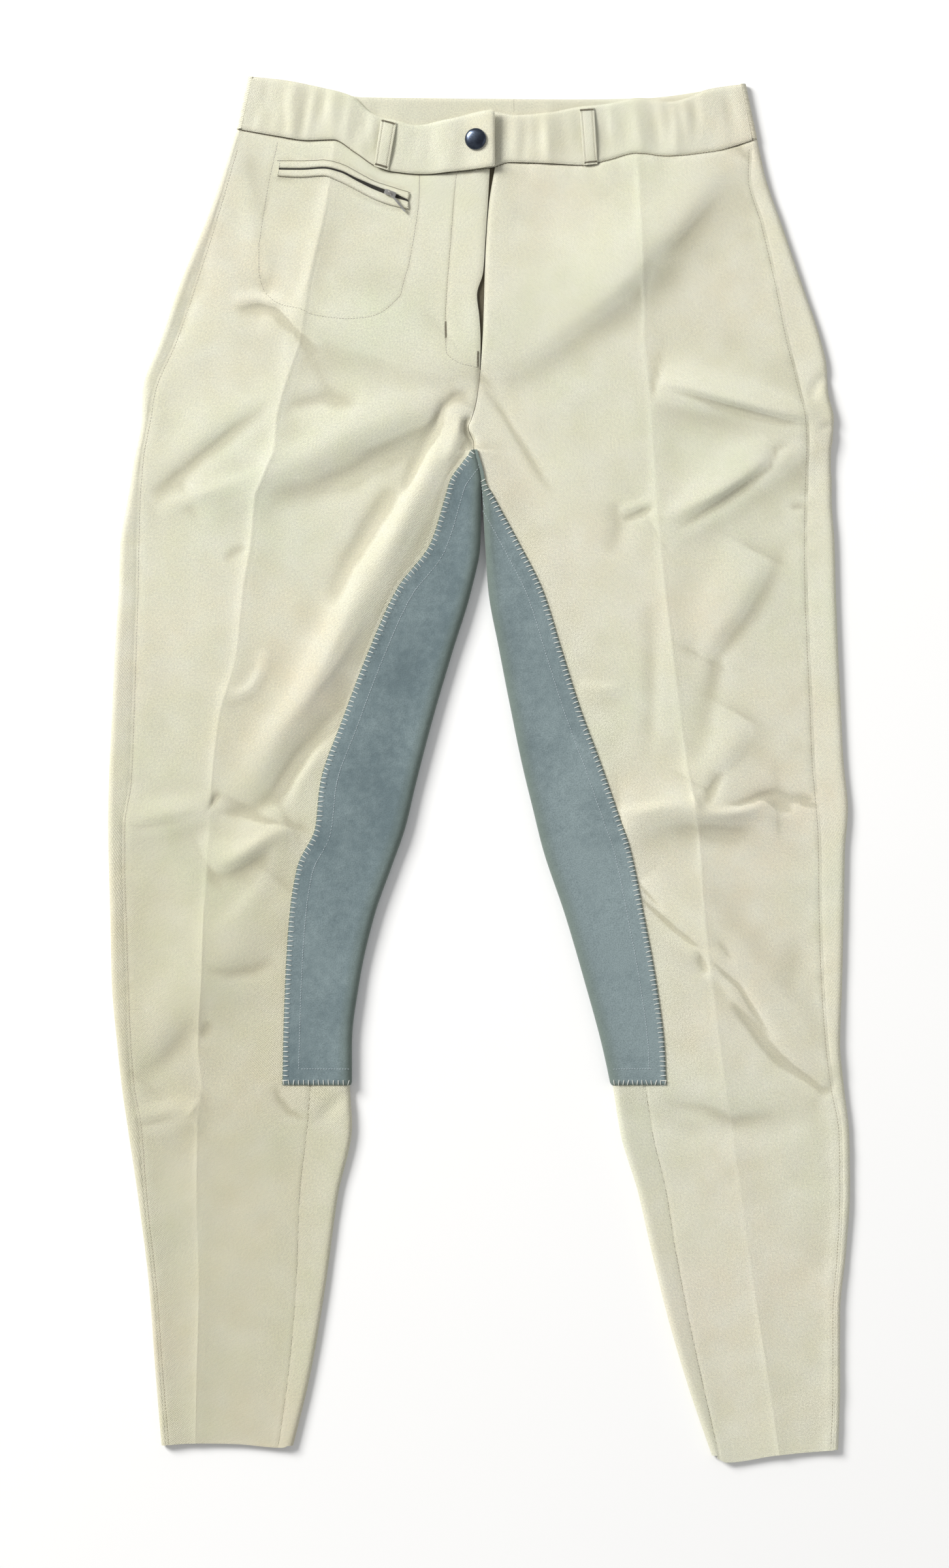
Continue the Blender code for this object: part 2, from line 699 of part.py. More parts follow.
def pucker(x, up):
    """Height of the gathers, strongest half-way up the band."""
    rise = sum(PUCKER_RISE * math.exp(-(((x - at) / PUCKER_WIDTH) ** 2)) for at in PUCKERS)
    return rise * math.sin(math.pi * mix(PUCKER_FROM, PUCKER_TO, up))


def band_columns(edge_points, first, last):
    """x values along a band: the panel's own columns, each gap halved, then the band's ends."""
    xs = sorted(point.x for point in edge_points if first < point.x < last)
    xs = [first] + xs + [last]
    halves = [mix(a, b, 0.5) for a, b in zip(xs, xs[1:])]
    return sorted(xs + halves)


def polyline(points):
    """y over x along the straight pieces between a panel's own edge points."""
    points = sorted(points, key=lambda point: point.x)
    xs, ys = [p.x for p in points], [p.y for p in points]
    return lambda x: float(np.interp(x, xs, ys))


def build_front_band(leg, edge_points, side_x):
    """One half of the band's upper layer. The right half ends in the lifted tab."""
    is_tab = leg is RIGHT
    foot = polyline(edge_points)
    foot_low, foot_high = min(p.x for p in edge_points), max(p.x for p in edge_points)
    ends = (side_x[0], tab_end(WAIST)) if is_tab else (TAB_UNDERLAP, side_x[0])
    columns = band_columns(edge_points, *ends)
    rows = []
    for k in range(BAND_ROWS):
        up = k / (BAND_ROWS - 1)
        row = []
        for x in columns:
            y_foot = GAP + (foot(x) if foot_low <= x <= foot_high else waist_seam(x))
            lean = max(0.0, x / side_x[0])  # the head of the band lies further in, most at the side
            x_up = x + up * lean * (side_x[1] - side_x[0])
            y = mix(y_foot, front_top(x_up), up)
            z = BAND_UNDER + pucker(x, up)
            if is_tab:
                z += (BAND + GAP) * eased((x - TAB_UNDERLAP + TAB_STEP) / TAB_STEP)
                z += TAB_LIFT * eased((x - TAB_LIFT_FROM) / (tab_end(y) - TAB_LIFT_FROM))
            row.append(Vector((x_up, y, z)))
        rows.append(row)
    raised = [[point + Vector((0, 0, BAND)) for point in row] for row in rows]
    return wall(f"waistband_{leg.name}", raised, rows, "cream twill")


def side_turn(side, up, inwards, inset):
    """The back band round one side fold, from the top to the underside, at inset from its outer face."""
    y = mix(GAP + waist_seam(side[0]), front_top(side[1]), up)
    middle = (BAND_UNDER + BAND) / 2
    wide, tall = BAND_FOLD - inset, middle - inset
    points = []
    for degrees in ROLL_ANGLES:
        turn = math.radians(degrees)
        x = mix(*side, up) + inwards * (BAND_FOLD - wide * math.cos(turn))
        points.append(Vector((x, y, middle + tall * math.sin(turn))))
    return points


def build_back_band(back_edges):
    """The band's lower layer, which turns up round both side folds."""
    foot_right, foot_left = (polyline([p for p in points if p.z < CLOTH]) for points in back_edges)
    below = [p for points in back_edges for p in points[BACK_FIRST_BELOW:] if p.z < GAP]
    right, left = BAND_SIDES
    columns = band_columns(below, right[0] + BAND_FOLD, left[0] - BAND_FOLD)
    outer, inner = [], []
    for k in range(BAND_ROWS):
        up = k / (BAND_ROWS - 1)
        first, last = mix(*right, up) + BAND_FOLD, mix(*left, up) - BAND_FOLD
        for rows, inset in ((outer, 0.0), (inner, BAND)):
            row = side_turn(right, up, 1, inset)
            for x in columns[1:-1]:
                x_up = mix(first, last, (x - columns[0]) / (columns[-1] - columns[0]))
                y_foot = GAP + (foot_right(x) if x < 0 else foot_left(x))
                row.append(Vector((x_up, mix(y_foot, back_top(x_up), up), inset)))
            rows.append(row + side_turn(left, up, -1, inset)[::-1])
    return wall("waistband_back", outer, inner, "cream twill")


def build_loop(leg, band, corners):
    """A belt loop: a strap that lies on the band at both ends and bows clear of it between them."""
    over = height_over(band)
    foot_low, foot_high, head_low, head_high = (Vector(corner) for corner in corners)
    rows = []
    for k in range(LOOP_ROWS + 1):
        up = k / LOOP_ROWS
        low, high = foot_low.lerp(head_low, up), foot_high.lerp(head_high, up)
        across = [low.lerp(high, t) for t in (0, 1 / 3, 2 / 3, 1)]
        height = max(over(*each) for each in across) + GAP + LOOP_BOW * math.sin(math.pi * up)
        rows.append([each.to_3d() + Vector((0, 0, height)) for each in across])
    raised = [[point + Vector((0, 0, LOOP_THICK)) for point in row] for row in rows]
    wall(f"belt_loop_{leg.name}", raised, rows, "cream twill")


# ---- Snap ----


def turned(name, profile, finish, place):
    """A closed round piece from (radius, height) pairs in mm that start and end on its axis."""
    bm = bmesh.new()
    verts = [bm.verts.new((radius * MM, 0, height * MM)) for radius, height in profile]
    edges = [bm.edges.new(pair) for pair in zip(verts, verts[1:])]
    bmesh.ops.spin(
        bm, geom=verts + edges, cent=(0, 0, 0), axis=(0, 0, 1), angle=math.tau, steps=TURN_STEPS,
        use_merge=True,
    )  # fmt: skip
    bmesh.ops.remove_doubles(bm, verts=bm.verts, dist=1e-6)
    made = add_object(name, bm, finish)
    made.matrix_world = place
    return made


def build_snap(right_band, left_band):
    """The snap's cap on the lifted tab, and the stud that joins the two ends of the band under it."""
    over_tab, over_left = height_over(right_band), height_over(left_band)
    x, y = SNAP_AT
    reach = SNAP_RADIUS * SNAP_SEAT
    slope = (over_tab(x + reach, y) - over_tab(x - reach, y)) / (2 * reach)
    under_cap = [SNAP_RADIUS * side for side in (-1, -0.5, 0, 0.5, 1)]
    seat = max(over_tab(x + aside, y) - slope * aside for aside in under_cap)
    tilt = math.atan(slope)
    place = Matrix.Translation(Vector((x, y, seat + GAP)) * MM) @ Matrix.Rotation(-tilt, 4, "Y")
    cap = [(0, 0), (SNAP_RADIUS, 0)]
    for k in range(DOME_STEPS):
        turn = math.pi / 2 * k / DOME_STEPS
        cap.append((SNAP_RADIUS * math.cos(turn), mix(SNAP_RIM, SNAP_HEIGHT, math.sin(turn))))
    turned("snap_cap", cap + [(0, SNAP_HEIGHT)], "gunmetal", place)
    floor = over_left(x, y) + GAP
    room = seat - BAND / math.cos(tilt) - GAP - STUD_RADIUS * slope - floor
    stud = [
        (0, 0), (STUD_RADIUS, 0), (STUD_RADIUS, room * STUD_WAIST), (STUD_RADIUS * STUD_HEAD, room),
        (0, room),
    ]  # fmt: skip
    turned("snap_stud", stud, "gunmetal", Matrix.Translation(Vector((x, y, floor)) * MM))


# ---- Zip pocket ----


def pocket_strip(name, across, thick, finish, over):
    """A strip along the pocket, on the panel. across gives its two long edges at one section."""
    lines = [curve(list(enumerate(getattr(row, line) for row in POCKET))) for line in PocketRow._fields]
    flat = []
    for k in range(POCKET_SECTIONS + 1):
        at = mix(0, len(POCKET) - 1, k / POCKET_SECTIONS)
        head, foot = (Vector(edge) for edge in across(PocketRow(*(line(at) for line in lines))))
        flat.append([head.lerp(foot, t) for t in (0, 0.5, 1)])
    reach = (flat[1][0].x - flat[0][0].x) / 2
    rows = []
    for row in flat:
        high = [max(over(p.x + reach * side, p.y) for side in (-1, 0, 1)) for p in row]
        rows.append([Vector((p.x, p.y, height + GAP)) for p, height in zip(row, high)])
    raised = [[point + Vector((0, 0, thick)) for point in row] for row in rows]
    return wall(name, raised, rows, finish)


def upper_welt(row):
    return (row.x_top, row.y_top), (row.x_zip, row.y_zip + row.half_open)


def lower_welt(row):
    return (row.x_zip, row.y_zip - row.half_open), (row.x_low, row.y_low)


def zip_tape(row):
    inside = row.half_open - GAP
    return (row.x_zip, row.y_zip + inside), (row.x_zip, row.y_zip - inside)


def build_pocket(over):
    """Two welts with the zip between them, laid on the right front."""
    pocket_strip("pocket_welt_upper", upper_welt, WELT_THICK, "cream twill", over)
    pocket_strip("pocket_welt_lower", lower_welt, WELT_THICK, "cream twill", over)
    pocket_strip("pocket_zip", zip_tape, ZIP_TAPE_THICK, "black zip tape", over)


def points_of(found):
    return [item for item in found if isinstance(item, bmesh.types.BMVert)]


def faces_of(found):
    return [item for item in found if isinstance(item, bmesh.types.BMFace)]


def arch_mesh(legs):
    """A half ring on two straight legs of this length, about the pull's pivot."""
    bm = bmesh.new()
    foot = Matrix.Translation(Vector((ARCH_RADIUS, 0, -legs)) * MM)
    bmesh.ops.create_circle(bm, cap_ends=True, segments=8, radius=ARCH_THICK * MM, matrix=foot)
    leg = bmesh.ops.extrude_face_region(bm, geom=bm.faces[:])["geom"]
    bmesh.ops.translate(bm, verts=points_of(leg), vec=(0, 0, legs * MM))
    top = faces_of(leg)
    ring = bmesh.ops.spin(bm, geom=top, cent=(0, 0, 0), axis=(0, -1, 0), angle=math.pi, steps=8)
    bmesh.ops.delete(bm, geom=[face for face in top if face.is_valid], context="FACES_ONLY")
    end = faces_of(ring["geom_last"])
    other_leg = bmesh.ops.extrude_face_region(bm, geom=end)["geom"]
    bmesh.ops.translate(bm, verts=points_of(other_leg), vec=(0, 0, -legs * MM))
    bmesh.ops.delete(bm, geom=[face for face in end if face.is_valid], context="FACES_ONLY")
    bmesh.ops.remove_doubles(bm, verts=bm.verts, dist=1e-6)
    return bm


def build_slider(over):
    """The slider on the zip, with the arch that carries its pull. Returns the pull's pivot, as a matrix."""
    x, y = SLIDER_AT
    along = Vector((POCKET[-1].x_zip - POCKET[-3].x_zip, POCKET[-1].y_zip - POCKET[-3].y_zip)).normalized()
    ends = [Vector(SLIDER_AT) + along * (SLIDER_LENGTH * side / 2) for side in (-1, 0, 1)]
    foot = max(over(end.x, end.y) for end in ends) + 2 * GAP + ZIP_TAPE_THICK
    place = Matrix.Translation(Vector((x, y, foot)) * MM)

    bm = bmesh.new()
    size = Matrix.Diagonal(Vector((SLIDER_LENGTH, SLIDER_WIDTH, SLIDER_HEIGHT)) * MM).to_4x4()
    bmesh.ops.create_cube(bm, size=1, matrix=Matrix.Translation((0, 0, SLIDER_HEIGHT * MM / 2)) @ size)
    upright = [e for e in bm.edges if abs(e.verts[0].co.z - e.verts[1].co.z) > SLIDER_HEIGHT * MM / 2]
    bmesh.ops.bevel(
        bm, geom=upright, offset=SLIDER_CORNER * MM, segments=2, profile=0.5, affect="EDGES", material=-1
    )
    body = add_object("zip_slider", bm, "nickel")
    body.matrix_world = place @ Matrix.Rotation(math.atan2(along.y, along.x), 4, "Z")

    pivot_height = foot + SLIDER_HEIGHT + PULL_BAR + 2 * GAP
    pivot = Matrix.Translation(Vector((x, y, pivot_height)) * MM)
    pivot @= Matrix.Rotation(math.radians(PULL_HEADING), 4, "Z")
    arch = add_object("slider_arch", arch_mesh(pivot_height - foot - SLIDER_HEIGHT + ARCH_SUNK), "nickel")
    arch.matrix_world = pivot
    arch.hide_render = True
    arch.display_type = "WIRE"
    joined = body.modifiers.new("arch", "BOOLEAN")
    joined.operation = "UNION"
    joined.object = arch
    return pivot


def build_pull(over, pivot):
    """The pull, an eye and a tapered shank. It turns about its pivot's Y, which carries its origin."""
    length = PULL[-1].along
    end = pivot @ Vector((length * MM, 0, 0))
    end_height = over(end.x / MM, end.y / MM) + GAP + PULL_END_RISE
    dip = math.asin((pivot.translation.z / MM - end_height) / length)
    faces = []
    for face in (1, -1):
        rows = []
        for row in PULL:
            across = (-row.half_wide, -row.half_inside, row.half_inside, row.half_wide)
            rows.append([Vector((row.along, side, face * row.half_thick)) for side in across])
        faces.append(rows)
    pull = wall("pull_tab", *faces, "nickel", lambda row, column: (row, column) != PULL_EYE_CELL)
    pull.matrix_world = pivot @ Matrix.Rotation(dip, 4, "Y")


def main():
    for old in list(bpy.data.objects):
        bpy.data.objects.remove(old)
    body = {leg.name: build_body(leg) for leg in LEGS}
    build_underlap()
    bands = {}
    for leg, side in zip(LEGS, BAND_SIDES):
        inset = -leg.out * (BAND_FOLD + GAP)
        bands[leg.name] = build_front_band(leg, body[leg.name].front_edge, (side[0] + inset, side[1] + inset))
    build_back_band([body[leg.name].back_edge for leg in LEGS])
    build_loop(RIGHT, bands["right"], RIGHT_LOOP)
    build_loop(LEFT, bands["left"], LEFT_LOOP)
    build_snap(bands["right"], bands["left"])
    over = height_over(body["right"].front)
    build_pocket(over)
    build_pull(over, build_slider(over))


main()
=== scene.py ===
"""Riding breeches laid flat on their back: the cloth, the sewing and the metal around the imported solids.

Tables and sizes are in millimetres, meshes in metres. +Y runs from the hems to the waist, +Z is up from the
surface the breeches lie on, and the wearer's right leg is at -X. Pieces are named by the wearer's own sides.
"""

import sys

import logging
import math
from collections.abc import Callable, Sequence
from dataclasses import dataclass, field
from enum import Enum
from functools import cache
from itertools import pairwise
from typing import NamedTuple

import bmesh
import bpy
import numpy as np
from mathutils import Matrix, Vector
from mathutils.bvhtree import BVHTree


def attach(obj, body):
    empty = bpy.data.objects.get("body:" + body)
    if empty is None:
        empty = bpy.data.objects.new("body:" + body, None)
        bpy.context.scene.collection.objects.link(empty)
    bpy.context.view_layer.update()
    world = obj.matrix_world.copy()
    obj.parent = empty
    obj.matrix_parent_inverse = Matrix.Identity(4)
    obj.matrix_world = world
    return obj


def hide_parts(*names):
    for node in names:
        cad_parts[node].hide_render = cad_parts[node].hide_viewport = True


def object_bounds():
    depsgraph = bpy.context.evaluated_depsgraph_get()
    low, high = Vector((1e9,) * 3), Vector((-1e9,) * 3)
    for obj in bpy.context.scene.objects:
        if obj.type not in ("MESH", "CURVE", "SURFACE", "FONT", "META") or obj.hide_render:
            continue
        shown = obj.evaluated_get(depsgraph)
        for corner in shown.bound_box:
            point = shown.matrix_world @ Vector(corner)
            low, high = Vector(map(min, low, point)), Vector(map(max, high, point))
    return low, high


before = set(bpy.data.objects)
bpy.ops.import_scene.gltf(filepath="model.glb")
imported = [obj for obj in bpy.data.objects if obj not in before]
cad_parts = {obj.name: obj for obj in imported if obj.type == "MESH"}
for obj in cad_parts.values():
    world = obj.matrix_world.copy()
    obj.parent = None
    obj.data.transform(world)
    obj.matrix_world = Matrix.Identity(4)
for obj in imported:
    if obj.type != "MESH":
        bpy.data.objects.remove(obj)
CAD_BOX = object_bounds()
LOG = logging.getLogger("breeches")

MM = 0.001
Array = np.ndarray
Line = Callable[[Array], Array]  # x of a line of the cloth by level
Height = Callable[[Array, Array], Array]
Path = Sequence[tuple[float, float]]  # corners, x and y in mm
Span = tuple[float, float]
Colour = tuple[float, float, float, float]
Socket = bpy.types.NodeSocket
Sockets = bpy.types.bpy_prop_collection


# ---- Levels along the garment, mm ----
HEM = -480.0
PATCH_FOOT = -222.0  # lower edge of the suede
KNEE_LINE = -49.0  # the suede's nap lies the other way below the knee
TONGUE_TOP_LEFT = 204.0  # the left suede leaves the inner fold here
CROTCH = 224.0
FLY_FOOT = 280.0
SEAT_TOP = 350.0  # upper edge of the suede on the seat
WAIST = 424.0  # waist seam at centre front

# ---- Layers of cloth, mm ----
GAP = 0.3  # between pieces that touch
CLOTH = 1.2  # stretch twill
SUEDE = 1.2
BAND = 2.6  # waistband: two cloths, turned
UNDER_SUEDE = SUEDE + GAP  # how far the back cloth rides up over the suede
SUEDE_STEP = 7.0  # width over which it comes down again
SUEDE_FADE = 70.0  # length over which the upper layer comes down past the suede's ends
BASE_TOP = 4.2  # outer face of the upper layer where it lies smooth
LOWEST_TOP = 2 * CLOTH + 2 * GAP  # the upper layer never sinks into the lower one

# ---- Folded edges and the strips of back cloth beside them, mm ----
EDGE_RISE = 1.4  # a folded edge stands a little higher than the middle
EDGE_REACH = 12.0
FOLD_RADIUS = 4.0  # of the rolled edges, in plan
ROLL_STEPS = 10  # round a folded edge
NARROWEST_STRIP = 3.5  # of back cloth that shows on top beside a seam
NARROWEST_AT_CROTCH = 1.2
NARROWS_BELOW_CROTCH = 34.0  # the inner strip starts to narrow this far down
NARROWS_OVER = 22.0  # and does so over this length
RADIUS_IN_STRIP = 0.85
SUEDE_TURNS_OVER = 44.0  # below the crotch, its edge on the underside turns to the centre over this length
TOWARDS_INNER = 1.5  # how soon the upper layer is up on the suede, from the outer fold inwards

# ---- Pressed crease down the front of each leg, mm ----
CREASE_RISE = 1.25
CREASE_REACH = 9.0  # on its right
CREASE_REACH_LEFT = 11.25
CREASE_LINE = 0.42  # how far its very line stands up
CREASE_LINE_REACH = 2.2
CREASE_EVEN = 0.8  # the share of the crease that is the same all the way

# ---- Rows, seams and the fly, mm ----
HEM_FADE = 60.0  # the rows bend to the hem over this length
WAIST_BEND = 64.0  # and to the waist seam over this one
FLY_RISE = 1.5  # layers behind the fly lift the front
FLY_REACH = 26.0
SEAM_DEPTH = 0.7  # a sewn seam draws the cloth in
SEAM_REACH = 1.5
SEAM_GAP = 0.03  # half the space between two panels at a sewn seam
OUTSEAM_SHARE = 0.45  # of that depth, at the outseam
OUTSEAM_REACH = 1.1
INSEAM_SHARE = 0.5  # of that depth, at the inseam
INSEAM_ENDS = 190.0  # the inseam is pressed flat under the suede's tongue, from this level
INSEAM_ENDS_OVER = 12.0
STITCH_FURROW = 0.32  # a row of stitches draws the cloth in
STITCH_REACH = 1.0
OUTSEAM_ROW = 1.9  # from the outseam to the row of stitches beside it
OUTSEAM_FURROW = 0.3
OUTSEAM_FURROW_REACH = 0.8
OUTSEAM_PUCKER_REACH = 6.0
WAIST_PUCKER_REACH = 10.0


class Side(Enum):
    """A side of the wearer, and which way it lies along X."""

    RIGHT = -1
    LEFT = 1

    @property
    def label(self) -> str:
        """The side's name, as it ends a piece's name."""
        return self.name.lower()


class LegRow(NamedTuple):
    """Where the lines of one leg lie at one level, as x in mm."""

    y: float
    outer: float  # outer fold
    outseam: float  # seam of front to back, on top
    crease: float
    patch: float  # front edge of the suede
    inseam: float
    inner: float  # inner fold of the cloth


RIGHT_LEG = (
    LegRow(-480, -223.5, -220, -200, -150, -142, -132),
    LegRow(-426, -228, -225, -199, -145, -134.5, -119),
    LegRow(-365, -232.5, -229.5, -197.5, -141, -129, -108.5),
    LegRow(-300, -240.5, -236, -199, -140, -126.5, -99.5),
    LegRow(-250, -248, -240, -198.5, -139, -121, -89.5),
    LegRow(-222, -252, -245, -195.5, -138.5, -119, -91),
    LegRow(-194, -255, -247, -198, -138, -118.5, -91),
    LegRow(-148, -259, -249, -195.5, -136.5, -115.5, -85.5),
    LegRow(-102, -260, -250.5, -194, -133.5, -107.5, -75),
    LegRow(-68, -261, -251.5, -192, -128, -96, -63),
    LegRow(-41, -261.5, -251.5, -190, -115.5, -86.5, -53.5),
    LegRow(-10, -261, -247, -188.5, -112, -75, -46),
    LegRow(36, -259, -245, -183.5, -96, -59, -34),
    LegRow(82, -257, -243.5, -171, -78.5, -43, -20.5),
    LegRow(128, -254, -242, -166.5, -57.5, -20, -6.5),
    LegRow(159, -253, -241.5, -161, -34.5, -7, -0.5),
    LegRow(192, -247.5, -240.5, -158, -24, -3.5, 0.3),
    LegRow(204, -245.5, -239.5, -153, -20.3, -2.4, 0.6),
    LegRow(217, -243.5, -238.5, -148, -11.2, -3.8, -0.9),
    LegRow(224, -242, -237.5, -144.5, -6.4, -5.4, -3.3),
    LegRow(247, -238, -233, -142.5, -30, -4.5, 0),
    LegRow(266, -237.5, -230, -138, -28, -0.5, 0),
    LegRow(302, -225, -215, -126.5, -25, 0.5, 0),
    LegRow(344, -210.5, -200.5, -119.5, -23, 2, 0),
    LegRow(394, -190, -184.5, -108.5, -20, 6, 0),
    LegRow(451, -171, -168, -100.5, -18, 8, 0),
)

LEFT_LEG = (
    LegRow(-483, 253, 249.5, 211.5, 178, 169, 164),
    LegRow(-435, 254.5, 251, 204.5, 168, 158, 147.5),
    LegRow(-384, 254.5, 251, 196.5, 158, 147, 132.5),
    LegRow(-337, 259, 254.5, 189.5, 151, 138, 121),
    LegRow(-296, 261.5, 256, 184, 146, 131.5, 111.5),
    LegRow(-258, 261, 255.5, 178.5, 138, 122.5, 100),
    LegRow(-222, 257, 249.5, 173.5, 132, 117, 94),
    LegRow(-194, 254.5, 246, 169.5, 130.5, 113.5, 88),
    LegRow(-148, 256, 243, 163.5, 124.5, 102, 75.5),
    LegRow(-102, 257, 241.5, 158.5, 116, 88, 62),
    LegRow(-56, 258, 241, 155.5, 106.5, 72, 46.5),
    LegRow(-28, 260, 239.5, 152, 97, 60.5, 39.5),
    LegRow(5, 257, 236.5, 146, 85.5, 48, 31.5),
    LegRow(44, 255, 235, 141, 71, 36, 23.5),
    LegRow(85, 253, 233, 136, 58, 23.5, 15.5),
    LegRow(126, 251.5, 231.5, 131, 45, 13, 8),
    LegRow(161, 250.5, 231, 127.5, 27.5, 9, 5.5),
    LegRow(192, 248.5, 231.5, 124.5, 10.6, 6.5, 3.6),
    LegRow(204, 248.5, 232, 124, 4.7, 4.2, 2.4),
    LegRow(211, 248, 232, 123.5, 8, 2.7, 1.0),
    LegRow(224, 248, 232.5, 123, 16, -1.3, -2.8),
    LegRow(231, 249, 232.5, 122.5, 22, -3.5, 0),
    LegRow(247, 250, 231.5, 121.5, 24, -4, 0),
    LegRow(266, 246, 227, 119.5, 25, 0, 0),
    LegRow(284, 245, 223, 118, 25, 1, 0),
    LegRow(302, 241, 218.5, 116.5, 25, 2, 0),
    LegRow(344, 227, 210, 115.5, 26, 3.5, 0),
    LegRow(385, 213, 200.5, 114, 27, 5, 0),
    LegRow(417, 202, 191.5, 112, 28, 9, 0),
    LegRow(444, 196, 192.5, 110.5, 28, 11, 0),
)


class FrontEdge(NamedTuple):
    """Where the two fronts end at one level. They part where the fly gapes."""

    y: float
    right: float
    left: float


CENTRE_FRONT = (
    FrontEdge(231, -4.0, -3.6),
    FrontEdge(241, -7.8, -7.4),
    FrontEdge(247, -5.5, -5.1),
    FrontEdge(260, -2.0, -1.6),
    FrontEdge(280, 0.5, 0.9),
    FrontEdge(302, 1.0, 2.4),
    FrontEdge(318, 0.2, 3.1),
    FrontEdge(334, -1.5, 3.6),
    FrontEdge(350, 2.8, 4.0),
    FrontEdge(375, 4.5, 5.2),
    FrontEdge(400, 6.2, 7.2),
    FrontEdge(424, 7.6, 11.2),
)

# Suede on the back, mm: y, width from the inner fold or the centre back seam.
SEAT_WIDTH = (
    (-222, 50), (-120, 58), (-40, 76), (60, 100), (150, 120), (224, 138),
    (300, 122), (330, 106), (350, 84), (424, 80),
)  # fmt: skip

# Waist seam on the front and on the back, mm: x, y.
WAIST_SEAM = (
    (-171, 451), (-142, 446), (-121, 443), (-103, 443.5), (-86.5, 434), (-73, 425), (-61, 421),
    (-38, 419), (-15, 421), (10, 424), (21.5, 427.5), (53, 426.5), (74, 425.5), (90, 429),
    (111, 434), (132, 432), (164, 435), (196, 444),
)  # fmt: skip
BACK_SEAM = ((-171, 451), (-120, 442), (-60, 438), (0, 437), (60, 437), (130, 438), (196, 444))

# Upper edge of the band on the front and on the back, mm: x, y.
FRONT_TOP = (
    (-161, 488), (-141, 486), (-112, 480.5), (-90, 474.5), (-75, 462), (-57, 457), (-45, 454),
    (-23, 457.5), (9.5, 463.5), (25, 461), (50, 463), (71, 467), (90, 469), (113, 473),
    (135, 470.5), (146, 473), (161, 479), (188, 483),
)  # fmt: skip
BACK_TOP = ((-163, 488), (-111, 480), (-82, 474), (0, 473), (60, 472.5), (111, 473), (188, 483))

# Lower edges of both legs, mm: x, y.
HEMS = ((-225, -476), (-199, -474.5), (-172, -475), (-140, -477.5), (-130, -476),
        (163, -483), (175, -488), (210, -483), (253, -479))  # fmt: skip


class Fold(NamedTuple):
    """A crease in the upper layer: its two ends, how far its middle bows to the left, and its profile."""

    name: str
    x0: float
    y0: float
    x1: float
    y1: float
    bow: float
    rise: float
    left: float  # width of the slope on the left, looking from the first end to the second
    right: float


MAIN_FOLDS = (
    Fold("hip pull", 185, 434, 3, 276, 12, 6.5, 14, 45),
    Fold("seat line", 1, 274, -204, 188, 5, 4, 16, 34),
    Fold("thigh sweep", -10, 257, -170, -23, 4, 6, 15, 18),
    Fold("thigh gutter", -9, 265, -87, 142, -4, -1.5, 12, 12),
    Fold("pocket drag", 1, 276, -153, 326, -8, 3, 14, 26),
    Fold("hip dip", -107, 266, -239, 199, -11, 2.5, 16, 30),
    Fold("side tuck", 123, 268, 252, 241, 2, 5, 24, 10),
    Fold("below the side tuck", 248, 237, 127, 164, -5, 4, 13, 28),
    Fold("left knee", 100, -40, 210, -33, 8, 5, 26, 13),
    Fold("left calf twist", 111, -81, 244, -225, 6, 4, 20, 10),
    Fold("left patch foot", 102, -236, 240, -240, -13, -1.2, 12, 12),
    Fold("right knee", -188, -72, -133, -41, -2, 4, 20, 12),
    Fold("right knee line", -251, -39, -186, -25, -3, 2.5, 16, 8),
    Fold("right calf", -135, -84, -244, -213, -6, 3.5, 22, 34),
    Fold("right patch foot", -244, -250, -194, -236, -1, 2, 12, 10),
    Fold("left thigh", 201, 151, 162, 77, -5, 3, 16, 26),
    Fold("left thigh low", 185, 38, 157, -12, 6, 3, 12, 20),
)
FOLD_TAPER = 0.6  # how bluntly a crease ends: 1 for a sine
WRINKLE_TAPER = 0.8
WRINKLE_ROOM = 3.5  # a wrinkle is worked out as far from its path as this many of its widths


class Wrinkle(NamedTuple):
    """A finer crease along a path; its rise is negative where it is sunk."""

    name: str
    rise: float
    left: float  # width of the slope on the left, looking along the path
    right: float
    path: Path
    crisp: float = 1.5  # 2 for a round crest, 1 for a sharp one


